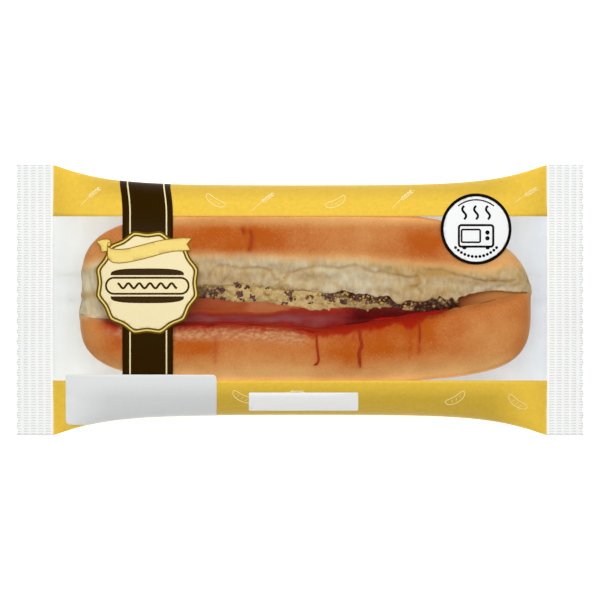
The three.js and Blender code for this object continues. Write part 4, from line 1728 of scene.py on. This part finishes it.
        upper, lower, (gx, gy, share) = blanket(x, low, high, 34, heights, 0.15 * MM, 1.4 * MM)
        from_low = (gy - self.ketchup_low(gx)) / MM
        right = step_up(gx, 14 * MM, 24 * MM)
        # Darker away from the red edge and more so on the right: the sauce's depth, and partly painted
        # shade.
        deep = step_up(from_low, 0.1, 1.4) * (0.55 + 0.45 * right) + 0.1 * (1 - right) * (share < 0.5)
        # Painted sheen: a soft band along the middle of the sauce's left part.
        haze = bell(share, 0.5, 0.24) * step_up(gx, 24 * MM, 6 * MM)
        haze = haze * (0.7 + 0.45 * lumps(0.4 * gx, gy, 0, 3 * MM, 34))
        far_glaze = step_up(share, 0.66, 1.0) * (1 - 0.6 * step_up(gx, -14 * MM, 0))
        thin = (far_glaze + 0.15 * step_up(share, 0.16, 0)) * (1 - right)
        sauce = tomato_sauce(look)
        attributes = {"deep": np.clip(deep, 0, 1), "haze": np.clip(haze, 0, 1), "thin": thin}
        layered("tomato_sauce", upper, lower, [sauce], "ketchup", attributes)
        for number, (path, width, thick) in enumerate(self.DRIPS):
            self.drip(f"sauce_drip_{number}", path, width * MM, thick * MM, sauce, ground_of("bun"))

    def drip(self, name, path, width, thick, sauce, ground):
        """A thin drip that follows the crust: a rounded ridge along a path in millimetres."""
        spine = smooth_path(path, 6)
        taper = np.clip(np.minimum(1, (len(spine) - np.arange(len(spine))) / 5), 0.2, 1)[:, None]
        across = np.linspace(-1, 1, 7)[None, :]
        reach = across * width / 2 * taper
        x, y = np.moveaxis(spine[:, None, :] + beside(spine)[:, None, :] * reach[..., None], -1, 0)
        level = softened(ground(x, y), 1)
        arch = thick * np.sqrt(np.clip(1 - across ** 2, 0, 1)) * taper
        upper = stacked(x, y, level + arch + 0.02 * MM)
        lower = stacked(x, y, level - 0.15 * MM)
        attributes = {key: np.full(level.shape, value) for key, value in self.DRIP_LOOK.items()}
        layered(name, upper, lower, [sauce], "ketchup", attributes)


# ---------------------------------------------------------------- stage

class HOTDOG_OT_stage(bpy.types.Operator):
    """Builds the floor, the lights, the world and the camera"""

    bl_idname = "hotdog.stage"
    bl_label = "Stage"

    FLOOR_REACH = 1.6
    KEY_PLACE, KEY_SIZE = (0.0, 0.31, 1.35), (1.6, 1.1)
    CAMERA_PLACE = (0, 0, 1.0)

    def execute(self, context):
        stage = context.scene.stage_settings
        scene = context.scene
        reach = self.FLOOR_REACH
        corners = [(-reach, -reach, 0), (reach, -reach, 0), (reach, reach, 0), (-reach, reach, 0)]
        floor = mesh_object("floor", corners, [(0, 1, 2, 3)])
        floor.data.materials.append(lit_table(stage.floor, stage.floor_glow))
        self.light("key", self.KEY_PLACE, self.KEY_SIZE, stage.key_power)
        world = bpy.data.worlds.new("studio")
        world.use_nodes = True
        background = world.node_tree.nodes["Background"].inputs
        background["Color"].default_value = (1, 1, 1, 1)
        background["Strength"].default_value = stage.sky
        scene.world = world
        scene.view_settings.view_transform = "Standard"
        camera = bpy.data.objects.new("camera", bpy.data.cameras.new("camera"))
        camera.data.type = "ORTHO"
        camera.data.ortho_scale = stage.view_width
        camera.location = self.CAMERA_PLACE
        scene.collection.objects.link(camera)
        scene.camera = camera
        return {"FINISHED"}

    @staticmethod
    def light(name, place, size, power):
        data = bpy.data.lights.new(name, "AREA")
        data.shape = "RECTANGLE"
        data.size, data.size_y = size
        data.energy = power
        lamp = bpy.data.objects.new(name, data)
        lamp.location = place
        lamp.rotation_euler = (-Vector(place)).to_track_quat("-Z", "Y").to_euler()
        bpy.context.scene.collection.objects.link(lamp)


class HOTDOG_PT_panel(bpy.types.Panel):
    """Lists the settings and the build steps"""

    bl_idname = "HOTDOG_PT_panel"
    bl_label = "Hot Dog"
    bl_space_type = "VIEW_3D"
    bl_region_type = "UI"
    bl_category = "Hot Dog"

    def draw(self, context):
        column = self.layout.column()
        for operator in OPERATORS:
            column.operator(operator.bl_idname)
        for key in GROUPS:
            group = getattr(context.scene, key)
            for name in group.__annotations__:
                column.prop(group, name)


OPERATORS = (
    HOTDOG_OT_film, HOTDOG_OT_seals, HOTDOG_OT_label, HOTDOG_OT_badge, HOTDOG_OT_stamp, HOTDOG_OT_bun,
    HOTDOG_OT_sausage, HOTDOG_OT_sauces, HOTDOG_OT_stage,
)
GROUPS = {"pack_settings": PackSettings, "hotdog_settings": HotDogSettings, "stage_settings": StageSettings}


def register():
    for group in (*GROUPS.values(), *OPERATORS, HOTDOG_PT_panel):
        bpy.utils.register_class(group)
    for name, group in GROUPS.items():
        setattr(bpy.types.Scene, name, PointerProperty(type=group))


def unregister():
    for name in GROUPS:
        delattr(bpy.types.Scene, name)
    for group in (HOTDOG_PT_panel, *reversed(OPERATORS), *GROUPS.values()):
        bpy.utils.unregister_class(group)


def main():
    """Builds everything in order."""
    register()
    for operator in OPERATORS:
        category, name = operator.bl_idname.split(".")
        getattr(getattr(bpy.ops, category), name)()


if __name__ == "__main__":
    main()
